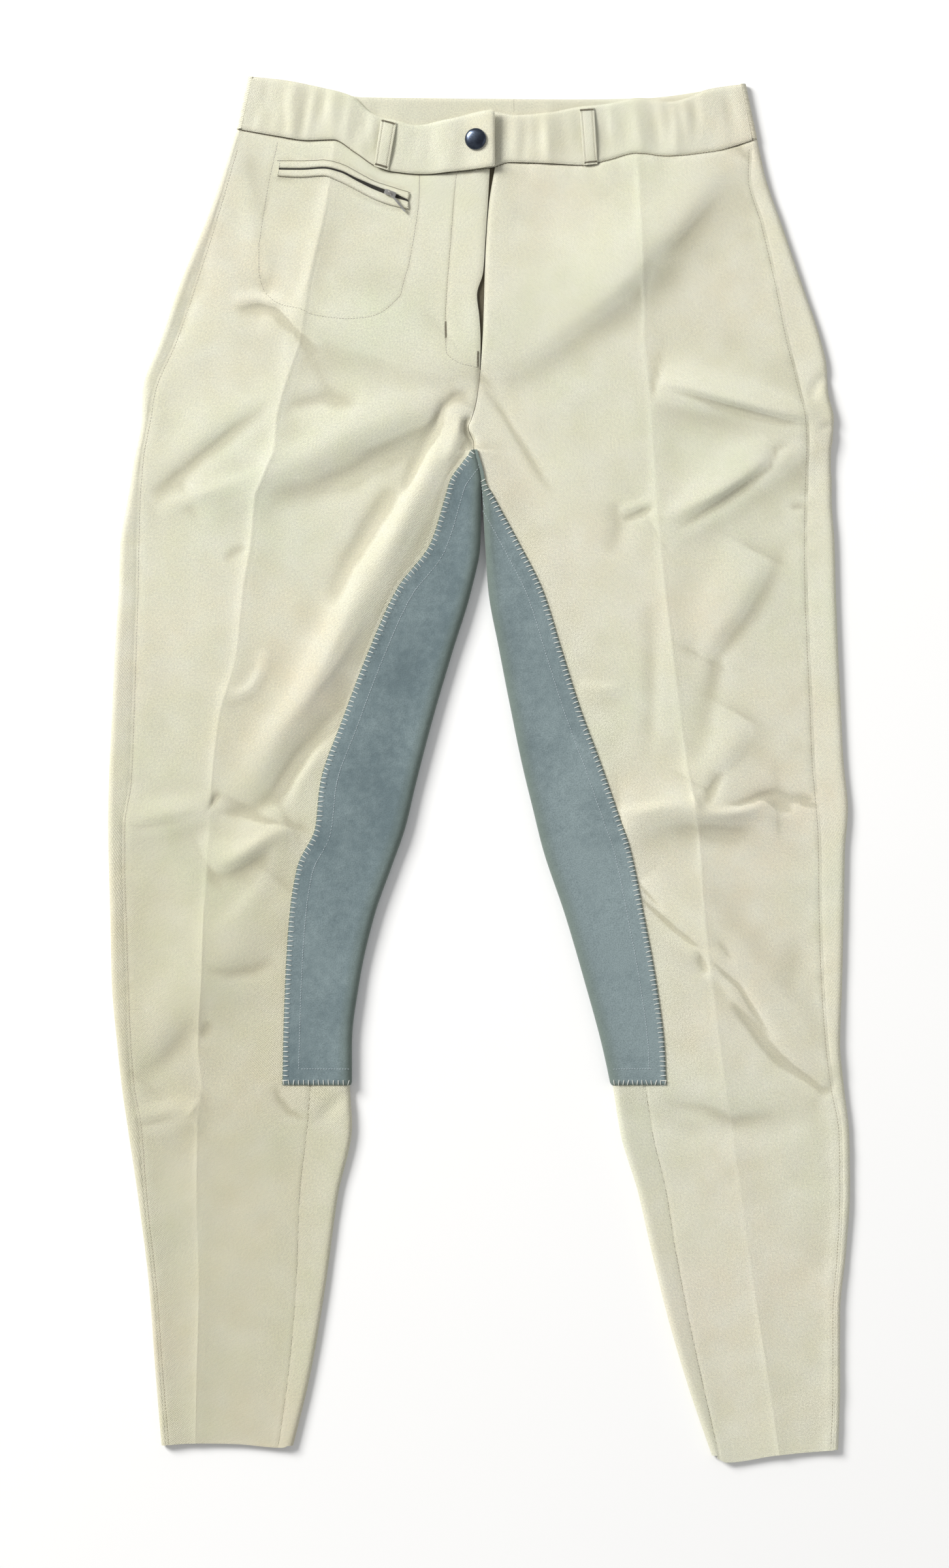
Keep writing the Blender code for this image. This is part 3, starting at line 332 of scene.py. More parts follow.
# Finer wrinkles, which the plain solids leave out.
WRINKLES = (
    # crotch and seat
    Wrinkle("crotch valley", -3.2, 6, 3.2,
            ((-5, 267), (-17.7, 262.3), (-26, 256), (-30, 245), (-36.3, 231.3), (-43.8, 217.6),
             (-48.8, 205), (-54, 192)), 1.3),
    Wrinkle("crotch valley, lip", 1.6, 9, 6,
            ((-9, 256), (-22, 244), (-33, 222), (-44, 198), (-60, 165), (-74, 138)), 2.0),
    Wrinkle("crotch hollow", -4.0, 2.0, 2.4,
            ((-5, 249), (-9.6, 244.5), (-9.2, 238), (-5.6, 233.5), (-4, 226))),
    Wrinkle("crotch roll", 2.2, 4, 3, ((-13, 250), (-15, 238), (-19, 226), (-25, 214)), 2.0),
    Wrinkle("beside the tongue", -0.6, 2.4, 2.4, ((-6, 233), (-10.5, 223), (-18, 214), (-25, 200))),
    Wrinkle("fly ray", -1.0, 2.6, 2.6,
            ((1, 268.5), (9.6, 261), (17, 250), (26, 235), (34.5, 221.3), (44, 205), (53, 193))),
    Wrinkle("seat line, lower", -2.4, 12, 11,
            ((-24, 246), (-61, 224), (-89, 209), (-117, 198), (-150, 193)), 1.9),
    Wrinkle("seat line lip", 1.5, 9, 16,
            ((-18, 264), (-61, 248), (-89, 239), (-117, 224), (-141, 212), (-165, 204)), 1.7),
    Wrinkle("hip dip, lower", -2.2, 7, 6,
            ((-146, 257), (-165, 245), (-181, 232), (-197, 220), (-213, 206), (-232, 192)), 1.8),
    Wrinkle("hip dip, inner", -1.8, 9, 7, ((-143, 246), (-131, 257), (-110, 261.5), (-84, 257))),
    Wrinkle("hip fold", 1.4, 4.5, 8, ((-154, 209), (-178.7, 199), (-209, 189), (-228, 180)), 1.8),
    Wrinkle("right groin band", -2.0, 7, 9,
            ((-60, 199), (-66, 188), (-78, 168), (-92, 144), (-104, 114)), 1.8),
    # right thigh
    Wrinkle("right thigh nip", -0.9, 4, 3.5, ((-161.5, 157), (-172, 154), (-181, 147))),
    Wrinkle("right thigh hook", 1.4, 3.4, 5,
            ((-151, 86), (-153, 70), (-160, 57), (-170, 52.5), (-186, 53)), 1.6),
    Wrinkle("thigh crest", 1.2, 8, 7,
            ((-80, 137), (-95.6, 102), (-107.4, 73), (-125, 46), (-140, 28), (-156, 3)), 1.6),
    Wrinkle("thigh crest line", 0.55, 1.6, 1.6,
            ((-78, 113), (-94, 84.5), (-103, 70), (-115, 55), (-124, 40))),
    Wrinkle("thigh gully", -2.5, 7, 10,
            ((-86, 66), (-98.6, 38), (-112, 21), (-121.7, 12), (-132.7, -4), (-143, -18), (-159, -27.5),
             (-179, -32)), 1.7),
    Wrinkle("second crest", 1.3, 5, 6, ((-104, 30), (-116, 7), (-126, -8), (-131.5, -27)), 1.9),
    # right knee and calf
    Wrinkle("right knee line", -1.5, 3.4, 5,
            ((-252, -41), (-236, -39.5), (-222, -37.5), (-208, -34.7), (-196, -31))),
    Wrinkle("right crease nick", -1.4, 2.2, 2.2, ((-182, -16), (-188, -23), (-191, -31))),
    Wrinkle("right knee line, inner", -1.4, 4, 1.8,
            ((-184, -30), (-167, -31), (-153.4, -36), (-139.6, -38.8), (-132.7, -39.6), (-125.8, -41.4),
             (-117, -45)), 1.3),
    Wrinkle("right knee fold", 1.7, 8, 5,
            ((-126, -38), (-136, -41), (-150, -48), (-167, -59), (-184, -69)), 1.7),
    Wrinkle("under the right knee", -2.1, 7, 7,
            ((-138, -47), (-154, -62), (-168, -70.5), (-192, -79)), 1.7),
    Wrinkle("right calf crest", 1.1, 9, 8, ((-137, -52), (-153, -84), (-170, -103), (-190, -119)), 1.9),
    Wrinkle("right calf band", -1.2, 6, 6, ((-197, -140), (-175, -143), (-159, -141), (-142, -133)), 1.8),
    Wrinkle("right calf corner", -1.0, 4, 4, ((-190, -176), (-193, -184), (-197, -190))),
    Wrinkle("right calf slope", -1.4, 9, 8, ((-200, -172), (-211, -190), (-222, -204), (-240, -217)), 1.9),
    Wrinkle("star, down", 1.0, 1.8, 2.2, ((-197.6, -233), (-202, -240), (-207, -243.5))),
    Wrinkle("star, across", 0.9, 1.8, 2.2, ((-206, -242), (-200, -247), (-196, -254))),
    Wrinkle("right foot line", -1.3, 3, 5, ((-244, -251), (-236, -249.3), (-222, -246.5), (-207, -242.5))),
    Wrinkle("beside the right suede", -1.3, 4, 4, ((-144, -222), (-141, -232), (-134, -241), (-121, -247))),
    Wrinkle("right strip", -1.6, 4, 4, ((-91, -223), (-103, -237), (-116, -252))),
    # left hip
    Wrinkle("side tuck lip", 1.9, 9, 3,
            ((125, 272), (139, 269.8), (153, 266.5), (173, 260.8), (194, 255.6), (215, 251),
             (238, 248)), 1.4),
    Wrinkle("side tuck line", -2.6, 2.6, 4.2,
            ((129, 268), (141, 265.3), (153, 262), (173, 255.8), (194, 250.2), (215, 245),
             (240, 242.6)), 1.4),
    Wrinkle("left side pucker", -1.8, 3, 3, ((247, 284), (241, 275), (236.5, 268), (234, 259))),
    Wrinkle("left side pucker, lower", -1.2, 2, 2, ((238, 239), (244, 241), (251, 245))),
    Wrinkle("second tuck", -2.3, 4, 3.6,
            ((221, 231), (209, 225.5), (205, 213.5), (187, 199.6), (169, 187.2), (152.5, 177.6),
             (134, 167)), 1.5),
    Wrinkle("second tuck, lip", 1.3, 3, 7, ((203, 219), (187, 206), (168, 194), (148, 184), (128, 175))),
    Wrinkle("left side nick", -0.8, 2, 3, ((218, 184.5), (231, 186.6))),
    Wrinkle("left thigh nip", -1.7, 2.6, 1.8, ((101, 175.5), (111, 179), (124, 185.5))),
    Wrinkle("left thigh nip, lip", 0.8, 4, 2.5, ((98, 181), (110, 184.5), (123, 188.5))),
    Wrinkle("left hip patch", -1.2, 8, 10, ((94, 190), (98, 172), (92, 150))),
    # left thigh
    Wrinkle("beside the left crease", -0.9, 6, 7, ((119, 120), (121, 86), (121, 48), (118, 4)), 1.8),
    Wrinkle("left thigh slope", -1.3, 6, 9,
            ((217, 163), (207, 138), (193, 110), (179, 94), (169, 80), (163, 51), (157, 22)), 1.6),
    Wrinkle("left thigh crest", 0.6, 9, 5,
            ((203, 150), (194, 132), (180, 108), (168, 98), (160, 84), (154, 54)), 1.8),
    Wrinkle("left thigh, low", -1.1, 5, 7, ((193, 22), (183, 8), (171, -4), (160, -17)), 1.7),
    Wrinkle("left inner ridge", 1.1, 5, 5, ((70, 60), (86, 56), (104, 58))),
    # left knee
    Wrinkle("left knee arc", 1.6, 4, 6,
            ((96, -28), (110, -30.4), (127, -26.5), (141, -25), (151, -28)), 1.5),
    Wrinkle("left knee pinch", 2.0, 2.6, 2, ((149, -17), (153, -24), (158, -28.5)), 1.5),
    Wrinkle("left knee notch", -1.6, 4, 3, ((170, 0), (166, -8), (162, -18), (158, -26))),
    Wrinkle("left knee crest", 2.0, 2.2, 7,
            ((154, -29), (169, -30.5), (183, -29), (192, -26.5), (199, -24)), 1.4),
    Wrinkle("left knee line", -2.8, 5, 2,
            ((172, -25), (183, -25), (191.6, -22.6), (198.5, -19.5), (204, -18.8), (212, -20.6),
             (219, -22.6), (228, -21.3), (240, -20)), 1.3),
    Wrinkle("left knee line, second", -2.2, 2.2, 2,
            ((199, -20), (206, -24), (213, -27), (222, -28.4)), 1.4),
    Wrinkle("left knee line, third", -1.9, 2, 1.8, ((225, -23.4), (232, -25), (240, -25.6)), 1.4),
    Wrinkle("under the left knee", -1.0, 8, 9,
            ((106, -44), (124, -39), (150, -40), (178, -45), (206, -33)), 1.8),
    # left calf
    Wrinkle("left calf line, upper", -1.6, 2, 2, ((110, -78), (119, -88), (130, -100)), 1.4),
    Wrinkle("left calf line", -2.9, 2.6, 2.2,
            ((112, -86), (118.5, -95), (127, -102.5), (139, -113.5), (151.6, -123.2), (158, -125.8),
             (167, -127.3)), 1.3),
    Wrinkle("left calf pocket", -2.0, 4, 4, ((154, -126), (157, -135), (161, -144))),
    Wrinkle("left calf seam", -1.3, 4, 2, ((165, -119), (172.3, -127), (179, -138))),
    Wrinkle("left calf valley", -3.0, 4, 3,
            ((158, -128), (172, -143), (183, -153), (191.6, -167), (206, -189)), 1.3),
    Wrinkle("left calf valley, lower", -3.6, 3.6, 2.6,
            ((177, -163), (185, -173), (192, -181), (200, -192), (209.5, -203), (219, -210), (230, -217),
             (241, -225.6), (250, -228)), 1.3),
    Wrinkle("left calf side", -0.6, 10, 10, ((223, -112), (222, -135), (218, -166)), 2.0),
    Wrinkle("left foot arc", -1.2, 6, 6,
            ((126, -230), (141, -236), (160, -239), (180, -248), (210, -243)), 1.8),
    # below the waist
    Wrinkle("right side gully", -2.0, 8, 8, ((-186, 398), (-196, 360), (-212, 315), (-237, 262)), 1.8),
    Wrinkle("side drag", 1.3, 5, 12,
            ((-171, 437), (-166, 410), (-160, 385), (-155, 362), (-150, 344)), 1.4),
    Wrinkle("pocket crease", 1.4, 4, 15,
            ((-108, 412), (-113, 380), (-121, 345), (-130, 312), (-138, 262)), 1.1),
    Wrinkle("below the pocket", 1.8, 6, 2.6,
            ((-176, 330), (-157, 331), (-142, 328), (-129, 317), (-111, 298)), 1.4),
    Wrinkle("below the pocket, dark", -2.1, 2.6, 5,
            ((-172, 324), (-154, 326), (-142.7, 323), (-132, 312), (-114, 292)), 1.4),
    Wrinkle("pocket drag lip", 1.4, 9, 14, ((-138, 316), (-90, 300), (-45, 286), (-16, 281))),
    Wrinkle("hip pull, softer", -2.2, 18, 36, ((96, 340), (58, 308), (3, 274)), 2.0),
    Wrinkle("hip pull dark", -2.2, 9, 7, ((182, 424), (160, 394), (144, 374), (125, 360), (112, 344)), 1.8),
)


class FloatCurve:
    """A smooth line through (position, value) pairs that never overshoots them, level past its ends."""

    def __init__(self, pairs: Path) -> None:
        """Works out the slopes.

        Args:
            pairs: positions and the values there, in any order.
        """
        self.at, self.value = np.array(sorted(pairs), float).T
        self.step = np.diff(self.at)
        secant = np.diff(self.value) / self.step
        turns = secant[:-1] * secant[1:] <= 0
        mean = 2 * secant[:-1] * secant[1:] / np.where(turns, 1, secant[:-1] + secant[1:])
        self.slope = np.concatenate([secant[:1], np.where(turns, 0, mean), secant[-1:]])

    def __call__(self, where: Array) -> Array:
        """The values at these positions."""
        where = np.clip(np.asarray(where, float), self.at[0], self.at[-1])
        k = np.clip(np.searchsorted(self.at, where) - 1, 0, len(self.step) - 1)
        t = (where - self.at[k]) / self.step[k]
        rest = 1 - t
        return (
            self.value[k] * (1 + 2 * t) * rest**2
            + self.value[k + 1] * (1 + 2 * rest) * t**2
            + self.step[k] * t * rest * (self.slope[k] * rest - self.slope[k + 1] * t)
        )


def eased(t: Array) -> Array:
    """0 to 1 with level ends."""
    t = np.clip(t, 0.0, 1.0)
    return t * t * (3 - 2 * t)


def mix(a: Array, b: Array, t: Array) -> Array:
    """The value t of the way from a to b."""
    return a + (b - a) * t


def between(first: Line, second: Line, t: float) -> Line:
    """The line that runs t of the way from one line to another."""
    return lambda y: mix(first(y), second(y), t)


def bell(distance: Array, width: float) -> Array:
    """1 at no distance, falling smoothly to nothing past the width."""
    return np.exp(-((distance / width) ** 2))


def undulation(x: Array, y: Array, size: float, seed: int) -> Array:
    """Smooth uneven ups and downs.

    Args:
        x: positions across, mm.
        y: positions along, mm.
        size: about how far apart they are, mm.
        seed: which pattern.

    Returns:
        Values between -1 and 1.
    """
    cells = 128
    lattice = np.random.default_rng(seed).uniform(-1, 1, (cells, cells))
    u, v = np.asarray(x) / size + cells / 2, np.asarray(y) / size + cells / 2
    i, j = np.floor(u).astype(int), np.floor(v).astype(int)
    s, t = eased(u - i), eased(v - j)
    low = mix(lattice[i % cells, j % cells], lattice[(i + 1) % cells, j % cells], s)
    high = mix(lattice[i % cells, (j + 1) % cells], lattice[(i + 1) % cells, (j + 1) % cells], s)
    return mix(low, high, t)


class Ripple(NamedTuple):
    """A pattern of soft ups and downs in the cloth."""

    rise: float  # mm
    size: float  # about how far apart its crests are, mm
    seed: int  # which pattern
    across: float = 1.0  # how much closer together they are across
    along: float = 1.0  # and along

    def at(self, x: Array, y: Array) -> Array:
        """How far it lifts the cloth at each point."""
        return self.rise * undulation(x * self.across, y * self.along, self.size, self.seed)


def folds_at(x: Array, y: Array) -> Array:
    """How far the main creases lift the upper layer at each point, mm."""
    total = np.zeros_like(x)
    for fold in MAIN_FOLDS:
        run, rise = fold.x1 - fold.x0, fold.y1 - fold.y0
        length = math.hypot(run, rise)
        run, rise = run / length, rise / length
        t = ((x - fold.x0) * run + (y - fold.y0) * rise) / length
        inside = (t > 0) & (t < 1)
        t = np.clip(t, 0, 1)
        aside = run * (y - fold.y0) - rise * (x - fold.x0) - fold.bow * 4 * t * (1 - t)
        height = fold.rise * np.sin(np.pi * t) ** FOLD_TAPER
        height *= bell(aside, np.where(aside > 0, fold.left, fold.right))
        total += np.where(inside, height, 0)
    return total


def nearest_on(path: Path, x: Array, y: Array) -> tuple[Array, Array, Array]:
    """Where a path is nearest to each point.

    Args:
        path: the path's corners.
        x: positions across, mm.
        y: positions along, mm.

    Returns:
        How far away it is in mm, on which side of it the point lies (over 0 on its left), and how far along
        the path that is, from 0 to 1.
    """
    corners = np.array(path, float)
    steps = np.hypot(*np.diff(corners, axis=0).T)
    starts = np.concatenate([[0.0], np.cumsum(steps)])
    away, side, share = np.full(np.shape(x), np.inf), np.zeros(np.shape(x)), np.zeros(np.shape(x))
    for (x0, y0), (x1, y1), start, step in zip(corners, corners[1:], starts, steps):
        run, rise = (x1 - x0) / step, (y1 - y0) / step
        t = np.clip((x - x0) * run + (y - y0) * rise, 0, step)
        here = np.hypot(x - x0 - t * run, y - y0 - t * rise)
        closer = here < away
        away = np.where(closer, here, away)
        side = np.where(closer, run * (y - y0) - rise * (x - x0), side)
        share = np.where(closer, (start + t) / starts[-1], share)
    return away, side, share


def wrinkle_at(x: Array, y: Array, wrinkle: Wrinkle) -> Array:
    """How far one finer crease lifts the upper layer at each point, mm."""
    away, side, share = nearest_on(wrinkle.path, x, y)
    width = np.where(side > 0, wrinkle.left, wrinkle.right)
    return wrinkle.rise * np.sin(np.pi * share) ** WRINKLE_TAPER * np.exp(-((away / width) ** wrinkle.crisp))


def wrinkles_at(x: Array, y: Array) -> Array:
    """How far the finer creases lift the upper layer at each point, mm."""
    total = np.zeros(np.shape(x))
    for wrinkle in WRINKLES:
        corners = np.array(wrinkle.path, float)
        room = WRINKLE_ROOM * max(wrinkle.left, wrinkle.right)
        low, high = corners.min(axis=0) - room, corners.max(axis=0) + room
        inside = (x > low[0]) & (x < high[0]) & (y > low[1]) & (y < high[1])
        if inside.any():
            total[inside] += wrinkle_at(x[inside], y[inside], wrinkle)
    return total


waist_seam = FloatCurve(WAIST_SEAM)
back_seam = FloatCurve(BACK_SEAM)
hems = FloatCurve(HEMS)
front_top = FloatCurve(FRONT_TOP)
back_top = FloatCurve(BACK_TOP)
seat_width = FloatCurve(SEAT_WIDTH)


def even_levels(first: float, last: float, pitch: float) -> list[float]:
    """Even levels from first up to, and without, last."""
    count = max(1, round((last - first) / pitch))
    return [mix(first, last, k / count) for k in range(count)]


ROLL_TURNS = [math.radians(degrees) for degrees in np.linspace(90, -90, ROLL_STEPS + 1)]
SETTLE_STEPS = 4  # a line and a bent row are brought together in so many steps
ROW_PITCH = 2.1
EDGE_ROWS = (0.0, 0.7, 1.6)  # closer rows beside the hem and the waist seam
# Levels that a row lies on.
STOPS = (HEM + ROW_PITCH, PATCH_FOOT, TONGUE_TOP_LEFT, CROTCH, SEAT_TOP, WAIST - ROW_PITCH)
STATIONS = np.array(
    [HEM + up for up in EDGE_ROWS]
    + [level for low, high in pairwise(STOPS) for level in even_levels(low, high, ROW_PITCH)]
    + [STOPS[-1]]
    + [WAIST - down for down in reversed(EDGE_ROWS)]
)


# ---- Meshes ----

TINY = 1e-9
WELD = 1e-6  # points this close are one, m
SHARP = 50.0  # edges that turn by more degrees than this stay hard
STITCH_SHARP = 80.0
HIGH_UP = 1.0  # rays start from here, m
LOW_DOWN = 0.01  # off the pieces, the nearest point is looked for from here


def grid_normals(points: Array, flip: float) -> Array:
    """Unit normals of a grid of points, turned over where flip is -1."""
    across = np.gradient(points, axis=1)
    along = np.gradient(points, axis=0)
    normal = np.cross(across, along) * flip
    size = np.linalg.norm(normal, axis=2, keepdims=True)
    return np.where(size > TINY, normal / np.maximum(size, TINY), (0.0, 0.0, -1.0))


def smoothed(values: Array, times: int) -> Array:
    """A grid of values, each evened out with its neighbours this many times."""
    for _ in range(times):
        padded = np.pad(values, 1, mode="edge")
        values = (padded[2:, 1:-1] + padded[:-2, 1:-1] + padded[1:-1, 2:] + padded[1:-1, :-2]) / 4
    return values


@dataclass
class Grid:
    """A sheet of cloth as rows and columns of points, in mm, before it gets its thickness."""

    outer: Array  # rows x columns x 3
    inner: Array
    grain: Array  # rows x columns x 2, the place on the flat cloth
    marks: dict[str, Array] = field(default_factory=dict)  # rows x columns each, kept as attributes
    keep: Array | None = None  # rows-1 x columns-1, which cells are cloth

    @classmethod
    def along(cls, points: Array, flip: float, near: Array, far: Array, start: int = 0) -> "Grid":
        """A wall between two distances from a surface.

        Args:
            points: the surface.
            flip: -1 where the rows run so that the normals need turning over.
            near: distance of the inner face along the normals.
            far: distance of the outer face.
            start: the column that the grain is measured from.

        Returns:
            The grid.
        """
        normals = grid_normals(points, flip)
        steps = np.linalg.norm(np.diff(points, axis=1), axis=2)
        run = np.concatenate([np.zeros((len(points), 1)), np.cumsum(steps, axis=1)], axis=1)
        grain = np.stack([run - run[:, start : start + 1], points[:, :, 1]], axis=2)
        shape = points.shape[:2]
        near, far = (np.broadcast_to(way, shape)[:, :, None] for way in (near, far))
        return cls(points + normals * far, points + normals * near, grain)

    def build(self, name: str) -> bpy.types.Object:
        """Makes the closed wall, with its grain as a UV map and its marks as attributes."""
        rows, columns = self.outer.shape[:2]
        bm = bmesh.new()
        bmesh.ops.create_grid(bm, x_segments=columns - 1, y_segments=rows - 1, size=1)
        key = bm.verts.layers.int.new("key")
        flat_inner = self.inner.reshape(-1, 3) * MM
        flat_outer = self.outer.reshape(-1, 3) * MM
        for index, vert in enumerate(bm.verts):
            vert[key] = index
            vert.co = flat_inner[index]
        if self.keep is not None:
            cells = [min(vert[key] for vert in face.verts) for face in bm.faces]
            lost = [f for f, c in zip(bm.faces, cells) if not self.keep[c // columns, c % columns]]
            bmesh.ops.delete(bm, geom=lost, context="FACES")
        lifted = bmesh.ops.extrude_face_region(bm, geom=bm.faces[:])["geom"]
        for vert in lifted:
            if isinstance(vert, bmesh.types.BMVert):
                vert.co = flat_outer[vert[key]]
        bmesh.ops.recalc_face_normals(bm, faces=bm.faces)
        made = finished(name, bm)
        mesh = made.data
        keys = np.empty(len(mesh.vertices), np.int32)
        mesh.attributes["key"].data.foreach_get("value", keys)
        mesh.attributes.remove(mesh.attributes["key"])
        for mark, values in self.marks.items():
            layer = mesh.attributes.new(mark, "FLOAT", "POINT")
            layer.data.foreach_set("value", values.reshape(-1)[keys].astype(np.float32))
        corners = np.empty(len(mesh.loops), np.int32)
        mesh.loops.foreach_get("vertex_index", corners)
        flat_grain = (self.grain.reshape(-1, 2) * MM)[keys[corners]].astype(np.float32)
        mesh.uv_layers.new(name="grain").data.foreach_set("uv", flat_grain.reshape(-1))
        return made


def finished(name: str, bm: bmesh.types.BMesh, sharp: float = SHARP) -> bpy.types.Object:
    """Turns a bmesh into an object of the scene.

    Args:
        name: the object's name.
        bm: the mesh, which is freed.
        sharp: edges that turn by more degrees than this stay hard.

    Returns:
        The object.
    """
    mesh = bpy.data.meshes.new(name)
    bm.to_mesh(mesh)
    bm.free()
    mesh.shade_smooth()
    mesh.set_sharp_from_angle(angle=math.radians(sharp))
    made = bpy.data.objects.new(name, mesh)
    bpy.context.scene.collection.objects.link(made)
    return made


class Surface:
    """The faces of finished pieces, to lay smaller ones on."""

    def __init__(self, *pieces: bpy.types.Object) -> None:
        """Reads the faces.

        Args:
            pieces: the pieces, as one surface.
        """
        points, faces = [], []
        for piece in pieces:
            start = len(points)
            points += [vert.co.copy() for vert in piece.data.vertices]
            faces += [[start + index for index in polygon.vertices] for polygon in piece.data.polygons]
        self.tree = BVHTree.FromPolygons(points, faces)

    def at(self, x: float, y: float) -> tuple[Vector, Vector]:
        """The highest point over a place of the floor, and the normal there.

        Args:
            x: across, mm.
            y: along, mm.

        Returns:
            The point in metres, and its normal. Off the pieces, the nearest point.
        """
        start = Vector((x * MM, y * MM, HIGH_UP))
        point, normal, _, _ = self.tree.ray_cast(start, Vector((0, 0, -1)))
        if point is None:
            point, normal, _, _ = self.tree.find_nearest(Vector((x * MM, y * MM, LOW_DOWN)))
        return point, normal

    def height(self, x: float, y: float) -> float:
        """The height of that point, mm."""
        return self.at(x, y)[0].z / MM


def resampled(path: Path, pitch: float, smooth: bool) -> Array:
    """Points at an even pitch along a path.

    Args:
        path: corners of the path, x and y in mm.
        pitch: distance between points, mm.
        smooth: whether the path curves through its corners.

    Returns:
        The points, with their direction: x, y, direction x, direction y.
    """
    corners = np.array(path, float)
    run = np.concatenate([[0], np.cumsum(np.linalg.norm(np.diff(corners, axis=0), axis=1))])
    at = np.linspace(0, run[-1], max(2, round(run[-1] / pitch) + 1))
    if smooth and len(run) > 2:
        places = np.stack([FloatCurve(list(zip(run, values)))(at) for values in corners.T], axis=1)
    else:
        places = np.stack([np.interp(at, run, values) for values in corners.T], axis=1)
    ahead = np.gradient(places, axis=0)
    ahead /= np.maximum(np.linalg.norm(ahead, axis=1, keepdims=True), TINY)
    return np.concatenate([places, ahead], axis=1)


# ---- Finishes ----

WARP_WAY, WEFT_WAY = 38, -50  # degrees, of the ribs of the weave and of the yarns across them


class Bump(NamedTuple):
    """How strong a finish's fine relief is, and how deep in metres."""

    strength: float
    depth: float


class Nodes:
    """Short ways to add nodes to a tree and join them."""

    def __init__(self, tree: bpy.types.NodeTree) -> None:
        """Keeps the tree."""
        self.tree = tree

    def feed(self, target: Socket, value: object) -> None:
        """Joins a socket to an input, or sets the input to a plain value."""
        if isinstance(value, Socket):
            self.tree.links.new(value, target)
        else:
            target.default_value = value

    def add(self, kind: str, inputs: dict | None = None, **settings: object) -> bpy.types.Node:
        """Adds a node.

        Args:
            kind: the node's type, without the ShaderNode in front.
            inputs: values or sockets by input name or number.
            settings: the node's own properties.

        Returns:
            The node.
        """
        node = self.tree.nodes.new("ShaderNode" + kind)
        for name, value in settings.items():
            setattr(node, name, value)
        for name, value in (inputs or {}).items():
            self.feed(node.inputs[name], value)
        return node

    def sum(self, kind: str, first: object, second: object) -> Socket:
        """The result of a Math node on two values or sockets."""
        return self.add("Math", {0: first, 1: second}, operation=kind).outputs[0]

    def blend(self, share: object, first: object, second: object, kind: str = "MIX") -> Socket:
        """A colour between two, by a share from 0 to 1."""
        return self.add("Mix", {0: share, 6: first, 7: second}, data_type="RGBA", blend_type=kind).outputs[2]

    def span(self, value: object, low: float, high: float, to_low: float = 0, to_high: float = 1) -> Socket:
        """A value moved from one range to another, and held at its ends."""
        names = {"Value": value, "From Min": low, "From Max": high, "To Min": to_low, "To Max": to_high}
        return self.add("MapRange", names).outputs[0]

    def noise(self, place: object, scale: object, detail: float = 2.0, roughness: float = 0.5) -> Socket:
        """Noise about a place, this many times a metre."""
        inputs = {"Vector": place, "Scale": scale, "Detail": detail, "Roughness": roughness}
        return self.add("TexNoise", inputs).outputs["Fac"]

    def waves(self, place: object, scale: object, distortion: float = 0.0, way: str = "X") -> Socket:
        """Even waves about a place."""
        inputs = {"Vector": place, "Scale": scale, "Distortion": distortion}
        return self.add("TexWave", inputs, bands_direction=way).outputs["Fac"]


def new_group(name: str, takes: dict[str, str], gives: Sequence[str]) -> tuple[Nodes, Sockets, Sockets]:
    """An empty shader node group.

    Args:
        name: the group's name.
        takes: its input sockets and their types.
        gives: its output sockets, which are plain numbers.

    Returns:
        Its nodes, the sockets that bring its inputs, and the ones that take its outputs.
    """
    tree = bpy.data.node_groups.new(name, "ShaderNodeTree")
    for socket, kind in takes.items():
        tree.interface.new_socket(socket, in_out="INPUT", socket_type="NodeSocket" + kind)
    for socket in gives:
        tree.interface.new_socket(socket, in_out="OUTPUT", socket_type="NodeSocketFloat")
    source = tree.nodes.new("NodeGroupInput")
    sink = tree.nodes.new("NodeGroupOutput")
    return Nodes(tree), source.outputs, sink.inputs


@cache
def weave_group() -> bpy.types.NodeTree:
    """A diagonal weave on a cloth's own grain: its height, and a tone for its yarns."""
    nodes, given, wanted = new_group(
        "diagonal weave", {"Grain": "Vector", "Rib scale": "Float"}, ("Height", "Tone")
    )
    grain, scale = given["Grain"], given["Rib scale"]
    turned = [
        nodes.add("VectorRotate", {"Vector": grain, "Angle": math.radians(way)}, rotation_type="Z_AXIS")
        for way in (WARP_WAY, WEFT_WAY)
    ]
    uneven = nodes.noise(grain, 850.0, 3.0, 0.7)
    ribs = nodes.add(
        "TexWave",
        {"Vector": turned[0].outputs[0], "Scale": scale, "Distortion": 2.2, "Detail Scale": 3.0},
        bands_direction="X",
    )
    yarns = nodes.waves(turned[1].outputs[0], nodes.sum("MULTIPLY", scale, 1.5), 0.4)
    height = nodes.sum("ADD", ribs.outputs["Fac"], nodes.sum("MULTIPLY", yarns, 0.5))
    height = nodes.sum("ADD", height, nodes.sum("MULTIPLY", uneven, 3.0))
    nodes.feed(wanted["Height"], height)
    nodes.feed(wanted["Tone"], nodes.span(height, 1.3, 3.2))
    return nodes.tree


@cache
def patches_group() -> bpy.types.NodeTree:
    """Soft uneven patches, broad and fine, between 0 and 1."""
    nodes, given, wanted = new_group(
        "uneven patches", {"Place": "Vector", "Scale": "Float"}, ("Broad", "Fine")
    )
    place, scale = given["Place"], given["Scale"]
    broad = nodes.noise(place, scale)
    fine = nodes.noise(place, nodes.sum("MULTIPLY", scale, 7.0), 4.0, 0.6)
    nodes.feed(wanted["Broad"], nodes.span(broad, 0.3, 0.7))
    nodes.feed(wanted["Fine"], nodes.span(fine, 0.3, 0.7))
    return nodes.tree


